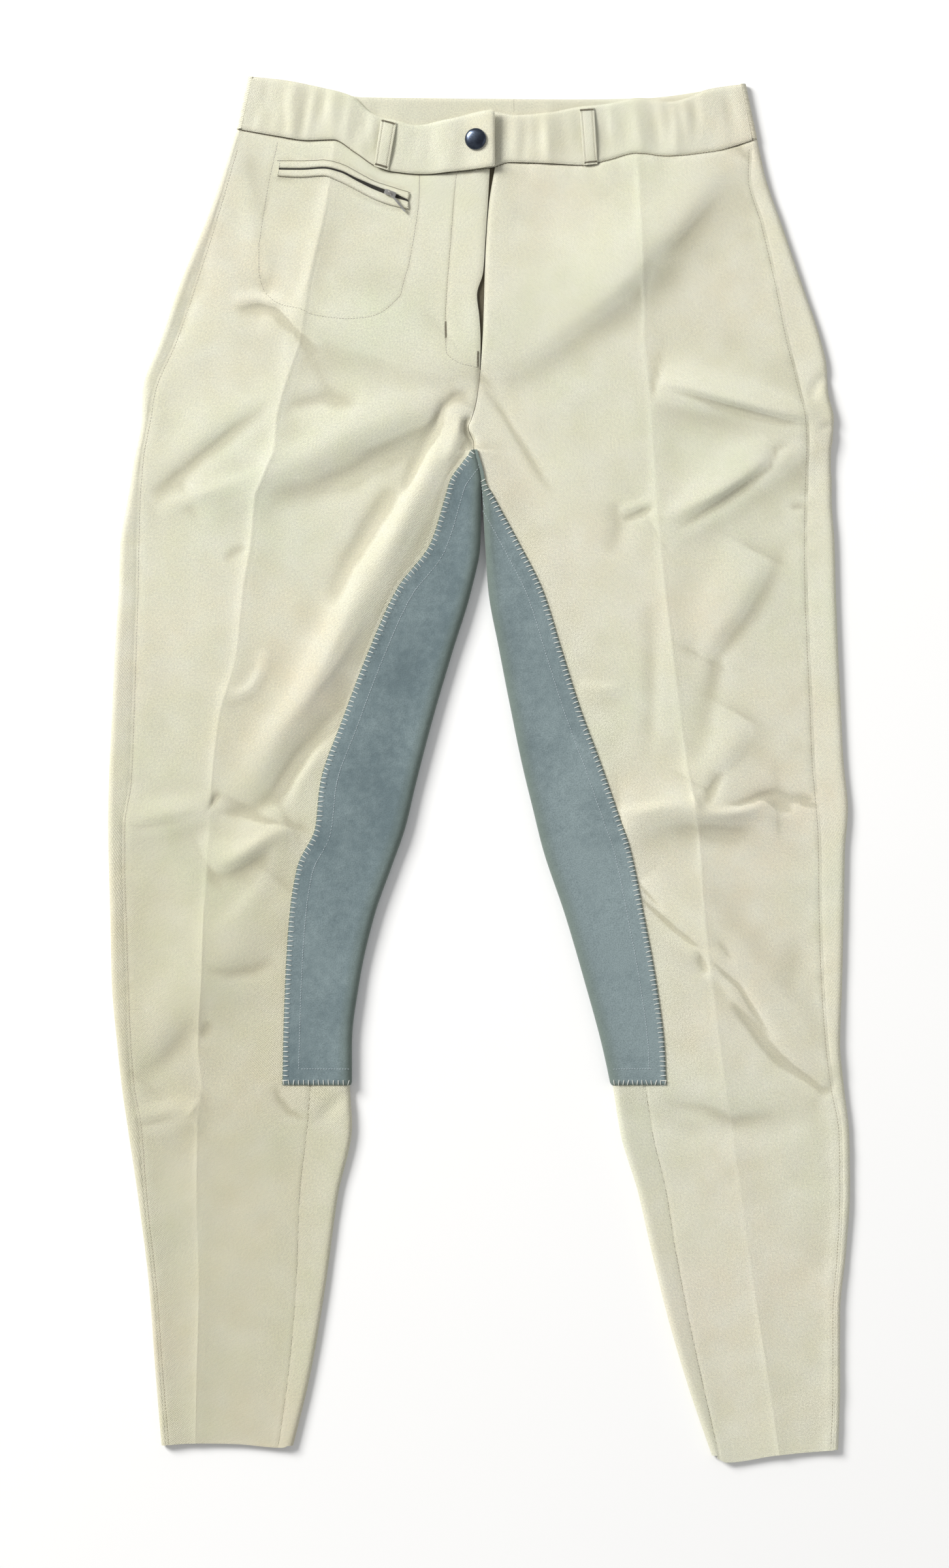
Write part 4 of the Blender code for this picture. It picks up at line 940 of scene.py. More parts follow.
class Shader(Nodes):
    """A new material: its nodes, and the shader that they are joined to."""

    def __init__(self, name: str) -> None:
        """Makes the material, by its name."""
        self.material = bpy.data.materials.new(name)
        self.material.use_nodes = True
        super().__init__(self.material.node_tree)
        self.inputs = self.tree.nodes["Principled BSDF"].inputs
        self.place = self.add("TexCoord").outputs["Object"]

    def patches(self, scale: float) -> Sockets:
        """Uneven patches over the piece."""
        return self.add("Group", {"Place": self.place, "Scale": scale}, node_tree=patches_group()).outputs

    def mark(self, name: str) -> Socket:
        """One of the piece's own marks."""
        return self.add("Attribute", attribute_name=name).outputs["Fac"]

    def finish(self, colour: Socket, bump: Bump, height: Socket,
               values: dict[str, object]) -> bpy.types.Material:
        """Joins what was made to the shader.

        Args:
            colour: the colour.
            bump: how strong and how deep the fine relief is.
            height: the relief's height.
            values: values or sockets for other inputs of the shader, by name.

        Returns:
            The material.
        """
        relief = self.add("Bump", {"Strength": bump.strength, "Distance": bump.depth, "Height": height})
        for name, value in {"Base Color": colour, "Normal": relief.outputs[0], **values}.items():
            self.feed(self.inputs[name], value)
        return self.material


@dataclass(frozen=True)
class TwillFinish:
    """Matt stretch twill, with a fine diagonal weave and painted shade in its creases, laid by the relief
    mark.
    """

    name: str = "cream twill"
    light: Colour = (0.80, 0.79, 0.675, 1)
    green: Colour = (0.71, 0.74, 0.54, 1)
    sand: Colour = (0.79, 0.715, 0.545, 1)
    # painted shade for creases and hollows, mixed in where the relief mark is low
    hollow: Colour = (0.43, 0.395, 0.265, 1)
    # darker and warmer, multiplied in towards the lower part of the right leg
    worn: Colour = (0.88, 0.855, 0.81, 1)
    rib_scale: float = 340.0  # about a rib a millimetre
    patch_scale: float = 7.0
    bump: Bump = Bump(0.5, 0.0005)
    light_share: Span = (0.25, 0.75)
    hollow_from: Span = (-1.3, 0.1)  # the relief where the painted crease shade is full, and where it ends
    hollow_share: float = 0.45
    worn_across: Span = (-0.14, 0.06)  # where the darker, warmer second tone is full across, and where it ends, m
    worn_along: Span = (-0.12, 0.12)
    yarn_tone: Span = (0.735, 1.215)  # of the darkest and the lightest yarns

    def material(self) -> bpy.types.Material:
        """The finish as a material."""
        nodes = Shader(self.name)
        patches = nodes.patches(self.patch_scale)
        grain = nodes.add("UVMap", uv_map="grain").outputs[0]
        given = {"Grain": grain, "Rib scale": self.rib_scale}
        weave = nodes.add("Group", given, node_tree=weave_group()).outputs
        colour = nodes.blend(patches["Broad"], self.green, self.sand)
        colour = nodes.blend(nodes.span(patches["Fine"], 0, 1, *self.light_share), colour, self.light)
        # painted shade: darker towards the crease-shade colour where the relief mark is low
        crease_shade_mask = nodes.span(nodes.mark("relief"), *self.hollow_from, 1, 0)
        colour = nodes.blend(nodes.sum("MULTIPLY", crease_shade_mask, self.hollow_share), colour, self.hollow)
        # darker and warmer towards the lower part of the right leg
        ways = nodes.add("SeparateXYZ", {0: nodes.place}).outputs
        worn = nodes.sum("MULTIPLY", nodes.span(ways["X"], *self.worn_across, 1, 0),
                         nodes.span(ways["Y"], *self.worn_along, 1, 0))
        colour = nodes.blend(worn, colour, self.worn, "MULTIPLY")
        yarn = nodes.span(weave["Tone"], 0, 1, *self.yarn_tone)
        tint = nodes.add("CombineColor", {0: yarn, 1: yarn, 2: yarn}).outputs[0]
        colour = nodes.blend(1.0, colour, tint, "MULTIPLY")
        soft = {"Roughness": 0.88, "Sheen Weight": 0.12, "Sheen Roughness": 0.6, "Specular IOR Level": 0.25}
        return nodes.finish(colour, self.bump, weave["Height"], soft)


@dataclass(frozen=True)
class SuedeFinish:
    """Brushed suede: blue-grey, blotched where the nap lies this way and that, with painted shade at its
    rolled fold and a darker cut edge.
    """

    name: str = "grey suede"
    cool: Colour = (0.145, 0.195, 0.212, 1)
    pale: Colour = (0.275, 0.345, 0.358, 1)
    dark: Colour = (0.085, 0.12, 0.125, 1)
    # painted shade at the rolled inner fold; also the colour of the darker cut edge
    fold: Colour = (0.135, 0.17, 0.14, 1)
    patch_scale: float = 22.0
    nap_scale: float = 1400.0
    bump: Bump = Bump(0.5, 0.0004)

    def material(self) -> bpy.types.Material:
        """The finish as a material."""
        nodes = Shader(self.name)
        patches = nodes.patches(self.patch_scale)
        nap = nodes.noise(nodes.place, self.nap_scale, 3.0, 0.7)
        share = nodes.sum("ADD", nodes.sum("MULTIPLY", patches["Broad"], 0.45),
                          nodes.sum("MULTIPLY", patches["Fine"], 0.35))
        share = nodes.sum("MULTIPLY", nodes.sum("SUBTRACT", share, 0.25), 1.3)
        share = nodes.sum("ADD", share, nodes.mark("brushed"))
        colour = nodes.blend(nodes.span(share, 0, 1), self.cool, self.pale)
        colour = nodes.blend(nodes.span(nap, 0.35, 0.6, 0.5, 0.0), colour, self.dark)
        colour = nodes.blend(nodes.mark("folded"), colour, self.fold)
        height = nodes.sum("ADD", nap, nodes.sum("MULTIPLY", patches["Fine"], 0.8))
        soft = {"Roughness": 0.95, "Sheen Weight": 0.35, "Sheen Roughness": 0.45, "Specular IOR Level": 0.15}
        return nodes.finish(colour, self.bump, height, soft)


@dataclass(frozen=True)
class ThreadFinish:
    """Twisted sewing thread."""

    name: str
    colour: Colour
    shade: Colour
    bump: Bump = Bump(0.4, 0.0001)

    def material(self) -> bpy.types.Material:
        """The finish as a material."""
        nodes = Shader(self.name)
        twist = nodes.waves(nodes.place, 900.0, 2.0, "DIAGONAL")
        colour = nodes.blend(nodes.noise(nodes.place, 300.0), self.shade, self.colour)
        return nodes.finish(colour, self.bump, twist, {"Roughness": 0.7})


@dataclass(frozen=True)
class MetalFinish:
    """Plated metal with fine scratches and cloudy patches of a second tone."""

    name: str
    colour: Colour
    worn: Colour
    roughness: float
    coat: float = 0.0
    bump: Bump = Bump(0.15, 0.00005)

    def material(self) -> bpy.types.Material:
        """The finish as a material."""
        nodes = Shader(self.name)
        drawn_out = {"Vector": nodes.place, "Scale": (1.0, 6.0, 1.0), "Rotation": (0.0, 0.0, 0.5)}
        scratch = nodes.noise(nodes.add("Mapping", drawn_out).outputs[0], 700.0, 4.0)
        cloud = nodes.noise(nodes.place, 160.0)
        colour = nodes.blend(nodes.span(cloud, 0.35, 0.7), self.colour, self.worn)
        rough = nodes.span(scratch, 0.3, 0.7, self.roughness * 0.8, self.roughness * 1.35)
        values = {"Roughness": rough, "Metallic": 1.0, "Coat Weight": self.coat}
        return nodes.finish(colour, self.bump, scratch, values)


@dataclass(frozen=True)
class TapeFinish:
    """Ribbed woven zip tape."""

    name: str = "dark zip tape"
    colour: Colour = (0.018, 0.017, 0.014, 1)
    rib: Colour = (0.045, 0.042, 0.034, 1)
    bump: Bump = Bump(0.5, 0.0002)

    def material(self) -> bpy.types.Material:
        """The finish as a material."""
        nodes = Shader(self.name)
        ribs = nodes.waves(nodes.place, 420.0)
        return nodes.finish(nodes.blend(ribs, self.colour, self.rib), self.bump, ribs, {"Roughness": 0.85})


class Finishes:
    """Every finish of the breeches, each made once."""

    def __init__(self) -> None:
        """Makes the materials."""
        self.twill = TwillFinish().material()
        self.lining = TwillFinish("band lining", light=(0.735, 0.73, 0.59, 1), green=(0.70, 0.705, 0.575, 1),
                                  rib_scale=420.0).material()
        # painted shade: the fly's inside is coloured as cloth in deep shade, in all its tones
        self.facing = TwillFinish("fly facing", (0.15, 0.13, 0.085, 1), (0.12, 0.115, 0.08, 1),
                                  (0.16, 0.13, 0.08, 1), (0.06, 0.05, 0.03, 1)).material()
        self.suede = SuedeFinish().material()
        # partly painted shade: the thread's own colour darkened to stand for the shade of the ditch it is
        # sewn in
        self.seam_thread = self.thread("olive seam thread", (0.20, 0.175, 0.115, 1), (0.11, 0.095, 0.06, 1))
        self.tan_thread = self.thread("tan seam thread", (0.33, 0.29, 0.20, 1), (0.22, 0.19, 0.13, 1))
        self.pale_thread = self.thread("cream thread", (0.93, 0.93, 0.87, 1), (0.78, 0.78, 0.70, 1))
        self.grey_thread = self.thread("blue-grey thread", (0.56, 0.63, 0.66, 1), (0.40, 0.46, 0.50, 1))
        self.gunmetal = MetalFinish(
            "gunmetal", (0.032, 0.04, 0.062, 1), (0.095, 0.12, 0.165, 1), 0.24, 0.3
        ).material()
        self.nickel = MetalFinish("nickel", (0.66, 0.65, 0.62, 1), (0.48, 0.47, 0.45, 1), 0.28).material()
        self.tape = TapeFinish().material()

    def thread(self, name: str, colour: Colour, shade: Colour) -> bpy.types.Material:
        """A thread's material."""
        return ThreadFinish(name, colour, shade).material()


def dress(piece: bpy.types.Object, finish: bpy.types.Material, slot: str,
          node: str | None = None) -> bpy.types.Object:
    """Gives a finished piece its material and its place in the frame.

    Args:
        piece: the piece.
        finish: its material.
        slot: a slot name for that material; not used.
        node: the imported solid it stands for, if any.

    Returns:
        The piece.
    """
    piece.data.materials.clear()
    piece.data.materials.append(finish)
    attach(piece, "garment")
    if node:
        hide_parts(node)
    LOG.info("%s, %s", piece.name, finish.name)
    return piece


class Cut(NamedTuple):
    """The flat piece that a panel is cut as, in metres: its width, its length and its area."""

    width: float
    length: float
    area: float


def as_cloth(piece: bpy.types.Object, cut: Cut) -> None:
    """Reports the area that the wall of a piece of cloth has."""
    area = sum(polygon.area for polygon in piece.data.polygons) / 2
    LOG.info("%s: %.5f m2", piece.name, area)


# ---- The two legs ----

PRESSED = {Side.RIGHT: 1.0, Side.LEFT: 0.8}  # how sharp each leg's crease still is
CREASE_RIPPLE = Ripple(0.35, 40, 9, across=0.2)
UNEVEN = (Ripple(0.32, 34, 3), Ripple(0.16, 15, 4))  # soft ups and downs of cloth that has been worn
OUTSEAM_PUCKER = Ripple(0.3, 7, 11)
WAIST_PUCKER = Ripple(0.45, 8, 12, along=0.4)

POCKET_BAG = (
    (-142, 441), (-148, 414), (-153, 383), (-155, 367), (-155, 352), (-152, 339), (-147, 332), (-139, 327),
    (-126, 324), (-117, 320), (-105, 318), (-93, 317), (-80, 318), (-70, 321), (-61, 328), (-55, 335),
    (-54, 340), (-49, 358), (-45, 381), (-42, 408), (-42, 419),
)  # fmt: skip
FLY_STITCH = (
    (-16.1, 418.6), (-17.7, 402.5), (-20.5, 365.7), (-22.8, 336.3), (-23.7, 317.4), (-23.5, 304.1),
    (-23.0, 293.9), (-19.1, 288.9), (-11.7, 285.2), (-1.6, 282.9), (0.3, 282.4),
)  # fmt: skip
WELT_EDGES = (
    ((-142, 430), (-125, 430), (-110, 430.5), (-96, 427.7), (-84, 421.7), (-72, 415.4), (-60, 411.4),
     (-48, 407.5)),
    ((-143, 416), (-127, 415.2), (-110, 416), (-99.5, 412.6), (-87.5, 406.8), (-76, 400.8), (-64, 396.2),
     (-49.5, 392.6)),
)  # fmt: skip
# Sewn rows that draw the cloth in.
FURROWS = {Side.RIGHT: (POCKET_BAG, FLY_STITCH, *WELT_EDGES), Side.LEFT: ()}


def suede_lift(y: Array, fade: float = SUEDE_STEP) -> Array:
    """1 over the suede's own length, 0 further than this past its ends."""
    foot = eased((y - PATCH_FOOT + fade) / fade)
    head = eased((SEAT_TOP + fade - y) / fade)
    return np.minimum(foot, head)


def row_level(station: Array, x: Array, seam: Line) -> Array:
    """The level that a row takes at x: bent to the waist seam at its top end and to the hem at the other."""
    to_waist = eased((station - WAIST + WAIST_BEND) / WAIST_BEND)
    to_hem = eased((HEM + HEM_FADE - station) / HEM_FADE)
    return station + to_waist * (seam(x) - WAIST) + to_hem * (hems(x) - HEM)


def shares(count: int, fine_end: bool = True) -> list[float]:
    """Places between two lines of a panel, from 0 up to and without 1, closer together beside a seam."""
    inside = [k / count for k in range(1, count)]
    return [0.0, 0.01, 0.025] + inside + ([0.975, 0.99] if fine_end else [])


class Leg:
    """The sections of one leg and its half of the body."""

    def __init__(self, side: Side, rows: Sequence[LegRow], centre: Path) -> None:
        """Works out the leg's lines.

        Args:
            side: which leg.
            rows: its table.
            centre: where its front ends above the crotch, as y and x.
        """
        self.side = side
        self.name = side.label
        self.out = side.value
        self.lines = {
            line: FloatCurve([(row.y, getattr(row, line)) for row in rows]) for line in LegRow._fields[1:]
        }
        self.centre = FloatCurve(centre)

    def outer(self, y: Array) -> Array:
        """The outer fold."""
        return self.lines["outer"](y)

    def inner(self, y: Array) -> Array:
        """The inner fold, or the centre back seam above the crotch."""
        return np.where(y <= CROTCH, self.lines["inner"](y), self.out * GAP / 2)

    def crease(self, y: Array) -> Array:
        """The pressed crease."""
        return self.lines["crease"](y)

    def patch(self, y: Array) -> Array:
        """The front edge of the suede."""
        return self.lines["patch"](y)

    def outseam(self, y: Array) -> Array:
        """The seam of front to back beside the outer fold."""
        strip = self.out * (self.outer(y) - self.lines["outseam"](y))
        return self.outer(y) - self.out * np.maximum(strip, NARROWEST_STRIP)

    def front_edge(self, y: Array) -> Array:
        """The inseam, or the centre front above the crotch."""
        strip = self.out * (self.lines["inseam"](y) - self.inner(y))
        narrows = eased((y - CROTCH + NARROWS_BELOW_CROTCH) / NARROWS_OVER)
        narrowest = mix(NARROWEST_STRIP, NARROWEST_AT_CROTCH, narrows)
        inseam = self.inner(y) + self.out * np.maximum(strip, narrowest)
        return np.where(y > CROTCH, self.centre(y), inseam)

    def suede_edge(self, y: Array) -> Array:
        """The edge of the suede on the underside."""
        turned = eased((y - CROTCH + SUEDE_TURNS_OVER) / SUEDE_TURNS_OVER)
        fold = self.inner(y) * np.where(y <= CROTCH, 1 - turned, 1.0)
        return fold + self.out * seat_width(y)

    def past_suede(self, y: Array) -> Array:
        """Where the cloth is down on the floor again, past the suede."""
        return self.suede_edge(y) + self.out * SUEDE_STEP

    def outer_radius(self, y: Array) -> Array:
        """Plan radius of the outer fold."""
        return np.minimum(FOLD_RADIUS, RADIUS_IN_STRIP * np.abs(self.outer(y) - self.outseam(y)))

    def inner_radius(self, y: Array) -> Array:
        """Plan radius of the inner fold."""
        return np.minimum(FOLD_RADIUS, RADIUS_IN_STRIP * np.abs(self.front_edge(y) - self.inner(y)))

    def outer_roll(self, y: Array) -> Array:
        """Where the roll round the outer fold starts, on top and below."""
        return self.outer(y) - self.out * self.outer_radius(y)

    def inner_roll(self, y: Array) -> Array:
        """Where the roll round the inner fold starts, on top."""
        return self.inner(y) + self.out * self.inner_radius(y)

    def first_below(self, y: Array) -> Array:
        """Where the flat underside starts, beside the inner fold or the centre back seam."""
        return np.where(y <= CROTCH, self.inner_roll(y), self.inner(y))

    def top(self, x: Array, y: Array) -> Array:
        """Height of the outer face of the upper layer, before its seams draw it in."""
        from_outer = np.abs(self.outer(y) - x)
        from_inner = np.abs(x - self.inner(y))
        from_crease = np.abs(x - self.crease(y))
        height = BASE_TOP + folds_at(x, y) + wrinkles_at(x, y)
        height += EDGE_RISE * bell(from_outer, EDGE_REACH)
        height += np.where(y <= CROTCH, EDGE_RISE * bell(from_inner, EDGE_REACH), 0)
        reach = np.where(x > self.crease(y), CREASE_REACH_LEFT, CREASE_REACH)
        pressed = PRESSED[self.side] * (CREASE_EVEN + CREASE_RIPPLE.at(x, y))
        height += pressed * CREASE_RISE * np.exp(-from_crease / reach)
        height += pressed * CREASE_LINE * np.exp(-from_crease / CREASE_LINE_REACH)
        fly = eased((y - FLY_FOOT + SUEDE_STEP) / SUEDE_STEP / 2)
        height += fly * FLY_RISE * bell(x, FLY_REACH)
        height += sum(ripple.at(x, y) for ripple in UNEVEN)
        towards_inner = from_outer / np.maximum(from_outer + from_inner, 1.0) * TOWARDS_INNER
        near_suede = UNDER_SUEDE * eased(towards_inner)
        height += near_suede * suede_lift(y, SUEDE_FADE)
        return np.maximum(height, LOWEST_TOP + near_suede * suede_lift(y))

    def cloth(self, x: Array, y: Array) -> Array:
        """Height of the outer face of the upper layer, drawn in at its seams."""
        side = np.abs(x - self.outseam(y))
        front = np.abs(x - self.front_edge(y))
        waist = waist_seam(x) - y
        inseam = 1 - eased((y - INSEAM_ENDS) / INSEAM_ENDS_OVER) * (y <= CROTCH)
        front_share = np.where(y < FLY_FOOT, INSEAM_SHARE * inseam, 1.0)
        drawn = OUTSEAM_SHARE * bell(side, OUTSEAM_REACH) + bell(waist, SEAM_REACH)
        height = self.top(x, y) - SEAM_DEPTH * (drawn + front_share * bell(front, SEAM_REACH))
        on_front = self.out * (self.outseam(y) - x) > 0
        height -= OUTSEAM_FURROW * bell(side - OUTSEAM_ROW, OUTSEAM_FURROW_REACH) * on_front
        height += OUTSEAM_PUCKER.at(x, y) * np.exp(-side / OUTSEAM_PUCKER_REACH)
        height += WAIST_PUCKER.at(x, y) * np.exp(-np.abs(waist) / WAIST_PUCKER_REACH)
        for furrow in FURROWS[self.side]:
            height -= STITCH_FURROW * bell(nearest_on(furrow, x, y)[0], STITCH_REACH)
        return height

    def settle(self, line: Line, seam: Line) -> tuple[Array, Array]:
        """The x and y where a line of the leg meets the bent rows."""
        x, y = line(STATIONS), STATIONS
        for _ in range(SETTLE_STEPS):
            y = row_level(STATIONS, x, seam)
            x = line(y)
        return x, y

    def on_top(self, line: Line, height: Height, shift: Array = 0.0) -> Array:
        """A column of points of the upper layer.

        Args:
            line: the column's line.
            height: which height of the leg to read.
            shift: how far the points are moved sideways.

        Returns:
            The points.
        """
        x, y = self.settle(line, waist_seam)
        return np.stack([x + shift, y, height(x, y)], axis=1)

    def below(self, line: Line, height: float) -> Array:
        """A column of points of the underside, this high where the suede lies under it."""
        x, y = self.settle(line, back_seam)
        return np.stack([x, y, height * suede_lift(STATIONS)], axis=1)

    def below_suede(self, columns: int) -> list[Array]:
        """Columns of the underside from the inner fold to the suede's edge, without the first."""
        return [
            self.below(between(self.first_below, self.suede_edge, k / columns), UNDER_SUEDE)
            for k in range(1, columns + 1)
        ]

    def roll(self, edge: Line, radius: Line, inwards: int, height: Height) -> list[Array]:
        """Columns round a folded edge, from the top to the underside.

        Args:
            edge: the line of the fold.
            radius: its plan radius by level.
            inwards: which way along X the cloth lies from the fold.
            height: which height of the leg to read.

        Returns:
            The columns.
        """
        x, y = self.settle(edge, waist_seam)
        wide = radius(y)
        low = UNDER_SUEDE * suede_lift(STATIONS) if inwards == self.out else 0.0
        high = height(x + inwards * wide, y)
        middle, tall = (high + low) / 2, (high - low) / 2
        columns = []
        for turn in ROLL_TURNS:
            across = x + inwards * wide * (1 - math.cos(turn))
            columns.append(np.stack([across, y, middle + tall * math.sin(turn)], axis=1))
        return columns

    def inner_turn(self, strips: int, height: Height, seam_gap: float) -> list[Array]:
        """Columns from the inseam round the inner fold.

        Args:
            strips: how many columns are on top, before the roll.
            height: which height of the leg to read.
            seam_gap: how far the first one is moved off the inseam.

        Returns:
            The columns.
        """
        columns = [
            self.on_top(between(self.front_edge, self.inner_roll, k / strips), height,
                        0.0 if k else -self.out * seam_gap)
            for k in range(strips)
        ]
        return columns + self.roll(self.inner, self.inner_radius, self.out, height)

    def gathered(self, columns: Sequence[Array]) -> list[Array]:
        """The same columns, laid at the centre back above the crotch."""
        under = self.below(self.inner, UNDER_SUEDE)
        return [np.where((STATIONS > CROTCH)[:, None], under, column) for column in columns]


RIGHT = Leg(Side.RIGHT, RIGHT_LEG, [(row.y, row.right) for row in CENTRE_FRONT])
LEFT = Leg(Side.LEFT, LEFT_LEG, [(row.y, row.left) for row in CENTRE_FRONT])
LEGS = (RIGHT, LEFT)


@dataclass
class FrontPanel:
    """The front of one leg, from the outseam to the inseam or the centre front."""

    leg: Leg
    cut: Cut = Cut(0.28, 0.95, 0.155)
    columns: tuple[int, int, int] = (32, 42, 14)  # from the outseam to the crease, the suede and the inseam
    relief_broad: int = 45  # how far the painted crease shade looks around itself, in steps of smoothing
    relief_fine: int = 7
    fine_share: float = 1.6

    def grid(self) -> Grid:
        """The panel's points."""
        leg = self.leg
        gap = leg.out * SEAM_GAP
        lines = (leg.outseam, leg.crease, leg.patch, leg.front_edge)
        places = [
            between(start, end, share)
            for (start, end), count in zip(pairwise(lines), self.columns)
            for share in shares(count)
        ]
        columns = [leg.on_top(line, leg.cloth, 0.0 if k else -gap) for k, line in enumerate(places)]
        columns.append(leg.on_top(leg.front_edge, leg.cloth, np.where(STATIONS <= CROTCH, gap, 0.0)))
        to_crease = len(shares(self.columns[0]))
        points = np.stack(columns, axis=1)
        made = Grid.along(points, -leg.out, -CLOTH, 0.0, start=to_crease)
        height = points[:, :, 2]
        # the relief mark sets the twill's painted crease shade; narrow creases count more
        fine = self.fine_share * (height - smoothed(height, self.relief_fine))
        made.marks["relief"] = height - smoothed(height, self.relief_broad) + fine
        return made

    def build(self, finish: bpy.types.Material) -> bpy.types.Object:
        """Makes the panel, dressed."""
        name = self.leg.name
        piece = dress(self.grid().build(f"front_panel_{name}"), finish, "twill", f"front_{name}")
        as_cloth(piece, self.cut)
        return piece


@dataclass
class BackPanel:
    """The back of one leg, which lies below and rolls round both folds on to the top."""

    leg: Leg
    cut: Cut = Cut(0.36, 0.97, 0.20)
    strip_columns: int = 6
    below_columns: int = 16

    @property
    def first_below(self) -> int:
        """The first column that lies on the underside."""
        return self.strip_columns + ROLL_STEPS + 1

    def columns(self) -> list[Array]:
        """The panel's columns: inseam, inner fold, underside, outer fold, outseam."""
        leg, strips, flats = self.leg, self.strip_columns, self.below_columns
        columns = leg.gathered(leg.inner_turn(strips, leg.cloth, SEAM_GAP))
        columns += leg.below_suede(flats)
        columns += [leg.below(between(leg.past_suede, leg.outer_roll, k / flats), 0.0) for k in range(flats)]
        columns += leg.roll(leg.outer, leg.outer_radius, -leg.out, leg.cloth)[::-1]
        for k in range(1, strips + 1):
            shift = leg.out * SEAM_GAP if k == strips else 0.0
            columns.append(leg.on_top(between(leg.outer_roll, leg.outseam, k / strips), leg.cloth, shift))
        return columns

    def build(self, finish: bpy.types.Material) -> bpy.types.Object:
        """Makes the panel, dressed."""
        points = np.stack(self.columns(), axis=1)
        made = Grid.along(points, -self.leg.out, -CLOTH, 0.0, start=self.first_below)
        below_crotch = (STATIONS[:-1] < CROTCH)[:, None]
        past_fold = np.arange(points.shape[1] - 1) >= self.first_below - 1
        made.keep = below_crotch | past_fold[None, :]
        made.marks["relief"] = np.zeros(points.shape[:2])
        name = self.leg.name
        piece = dress(made.build(f"back_panel_{name}"), finish, "twill", f"back_{name}")
        as_cloth(piece, self.cut)
        return piece


class Nap(NamedTuple):
    """How much of the suede's nap lies the pale way."""

    above: float
    more_below: float  # how much more of it below the knee


@dataclass
class SuedeSeat:
    """One half of the suede: from the front edge over the inseam, round the inner fold and on to the seat."""

    leg: Leg
    tongue_top: float
    nap: Nap
    cut: Cut = Cut(0.19, 0.58, 0.080)
    front_columns: int = 18
    strip_columns: int = 5
    below_columns: int = 20
    edge_reach: float = 1.6  # the cut edge is pressed thin over this width
    edge_share: float = 0.35  # of the thickness, at the very edge
    knee_fade: float = 14.0  # the nap changes over this length
    relief_reach: int = 20
    fold_tone: float = 0.75  # how far the painted shade at the rolled fold shows
    fold_reach: float = 5.0
    edge_tone_reach: float = 0.7

    def build(self, finish: bpy.types.Material) -> bpy.types.Object:
        """Makes the suede, dressed."""
        leg = self.leg
        columns = [
            leg.on_top(between(leg.patch, leg.front_edge, share), leg.top)
            for share in shares(self.front_columns, fine_end=False)
        ]
        inseam = len(columns)
        turn = leg.inner_turn(self.strip_columns, leg.top, 0.0)
        columns += turn[:1] + leg.gathered(turn[1:])
        rolled = len(columns) - 1
        columns += leg.below_suede(self.below_columns)
        rows = (STATIONS >= PATCH_FOOT) & (STATIONS <= SEAT_TOP)
        levels = STATIONS[rows]
        points = np.stack(columns, axis=1)[rows]
        across = np.linalg.norm(points[:, :, :2] - points[:, :1, :2], axis=2)
        along = (levels - PATCH_FOOT)[:, None]
        thin = np.minimum(eased(across / self.edge_reach), eased(along / self.edge_reach))
        grid = Grid.along(points, -leg.out, GAP, GAP + SUEDE * mix(self.edge_share, 1.0, thin))
        number = np.arange(points.shape[1])
        up_to = np.where(number >= rolled, np.inf, np.where(number >= inseam, CROTCH, self.tongue_top))
        grid.keep = levels[:-1, None] < up_to[None, :-1]
        x, y, height = np.moveaxis(points, 2, 0)
        grid.marks["relief"] = height - smoothed(height, self.relief_reach)
        grid.marks["brushed"] = self.nap.above + self.nap.more_below * eased((KNEE_LINE - y) / self.knee_fade)
        # painted shade where the suede rolls round the inner fold, and a darker cut edge, on the upper side
        # only
        fold_tone = self.fold_tone * bell(x - leg.inner(y), self.fold_reach)
        edge_tone = bell(np.minimum(across, along), self.edge_tone_reach)
        on_top = number[None, :] <= inseam + self.strip_columns + ROLL_STEPS // 2
        grid.marks["folded"] = np.where(on_top, np.maximum(fold_tone, edge_tone), 0.0)
        piece = dress(grid.build(f"suede_seat_{leg.name}"), finish, "suede", f"suede_{leg.name}")
        as_cloth(piece, self.cut)
        return piece


@dataclass
class FlyShield:
    """The layer behind the opening of the fly, hung under both fronts."""

    cut: Cut = Cut(0.032, 0.15, 0.0041)
    past_right: tuple[float, ...] = (17.0, 8.0, 4.0, 1.0)  # its columns, from the edge of the right front
    past_left: tuple[float, ...] = (1.0, 4.0, 9.0)  # and from the edge of the left front
    clearance: float = 0.7
    thick: float = 1.2
    relief: float = -0.8  # painted shade: the relief mark at which the full crease shade is laid

    def build(self, finish: bpy.types.Material) -> bpy.types.Object:
        """Makes the shield, dressed."""
        stations = STATIONS[STATIONS >= FLY_FOOT]
        columns = [(RIGHT, RIGHT.centre(stations) - past) for past in self.past_right]
        columns += [(LEFT, LEFT.centre(stations) + past) for past in self.past_left]
        points = []
        for leg, x in columns:
            y = row_level(stations, x, waist_seam)
            points.append(np.stack([x, y, leg.top(x, y)], axis=1))
        near = -CLOTH - self.clearance - SEAM_DEPTH
        grid = Grid.along(np.stack(points, axis=1), 1, near - self.thick, near)
        grid.marks["relief"] = np.full(grid.outer.shape[:2], self.relief)
        piece = dress(grid.build("fly_shield"), finish, "twill", "fly_underlap")
        as_cloth(piece, self.cut)
        return piece


# ---- Waistband ----


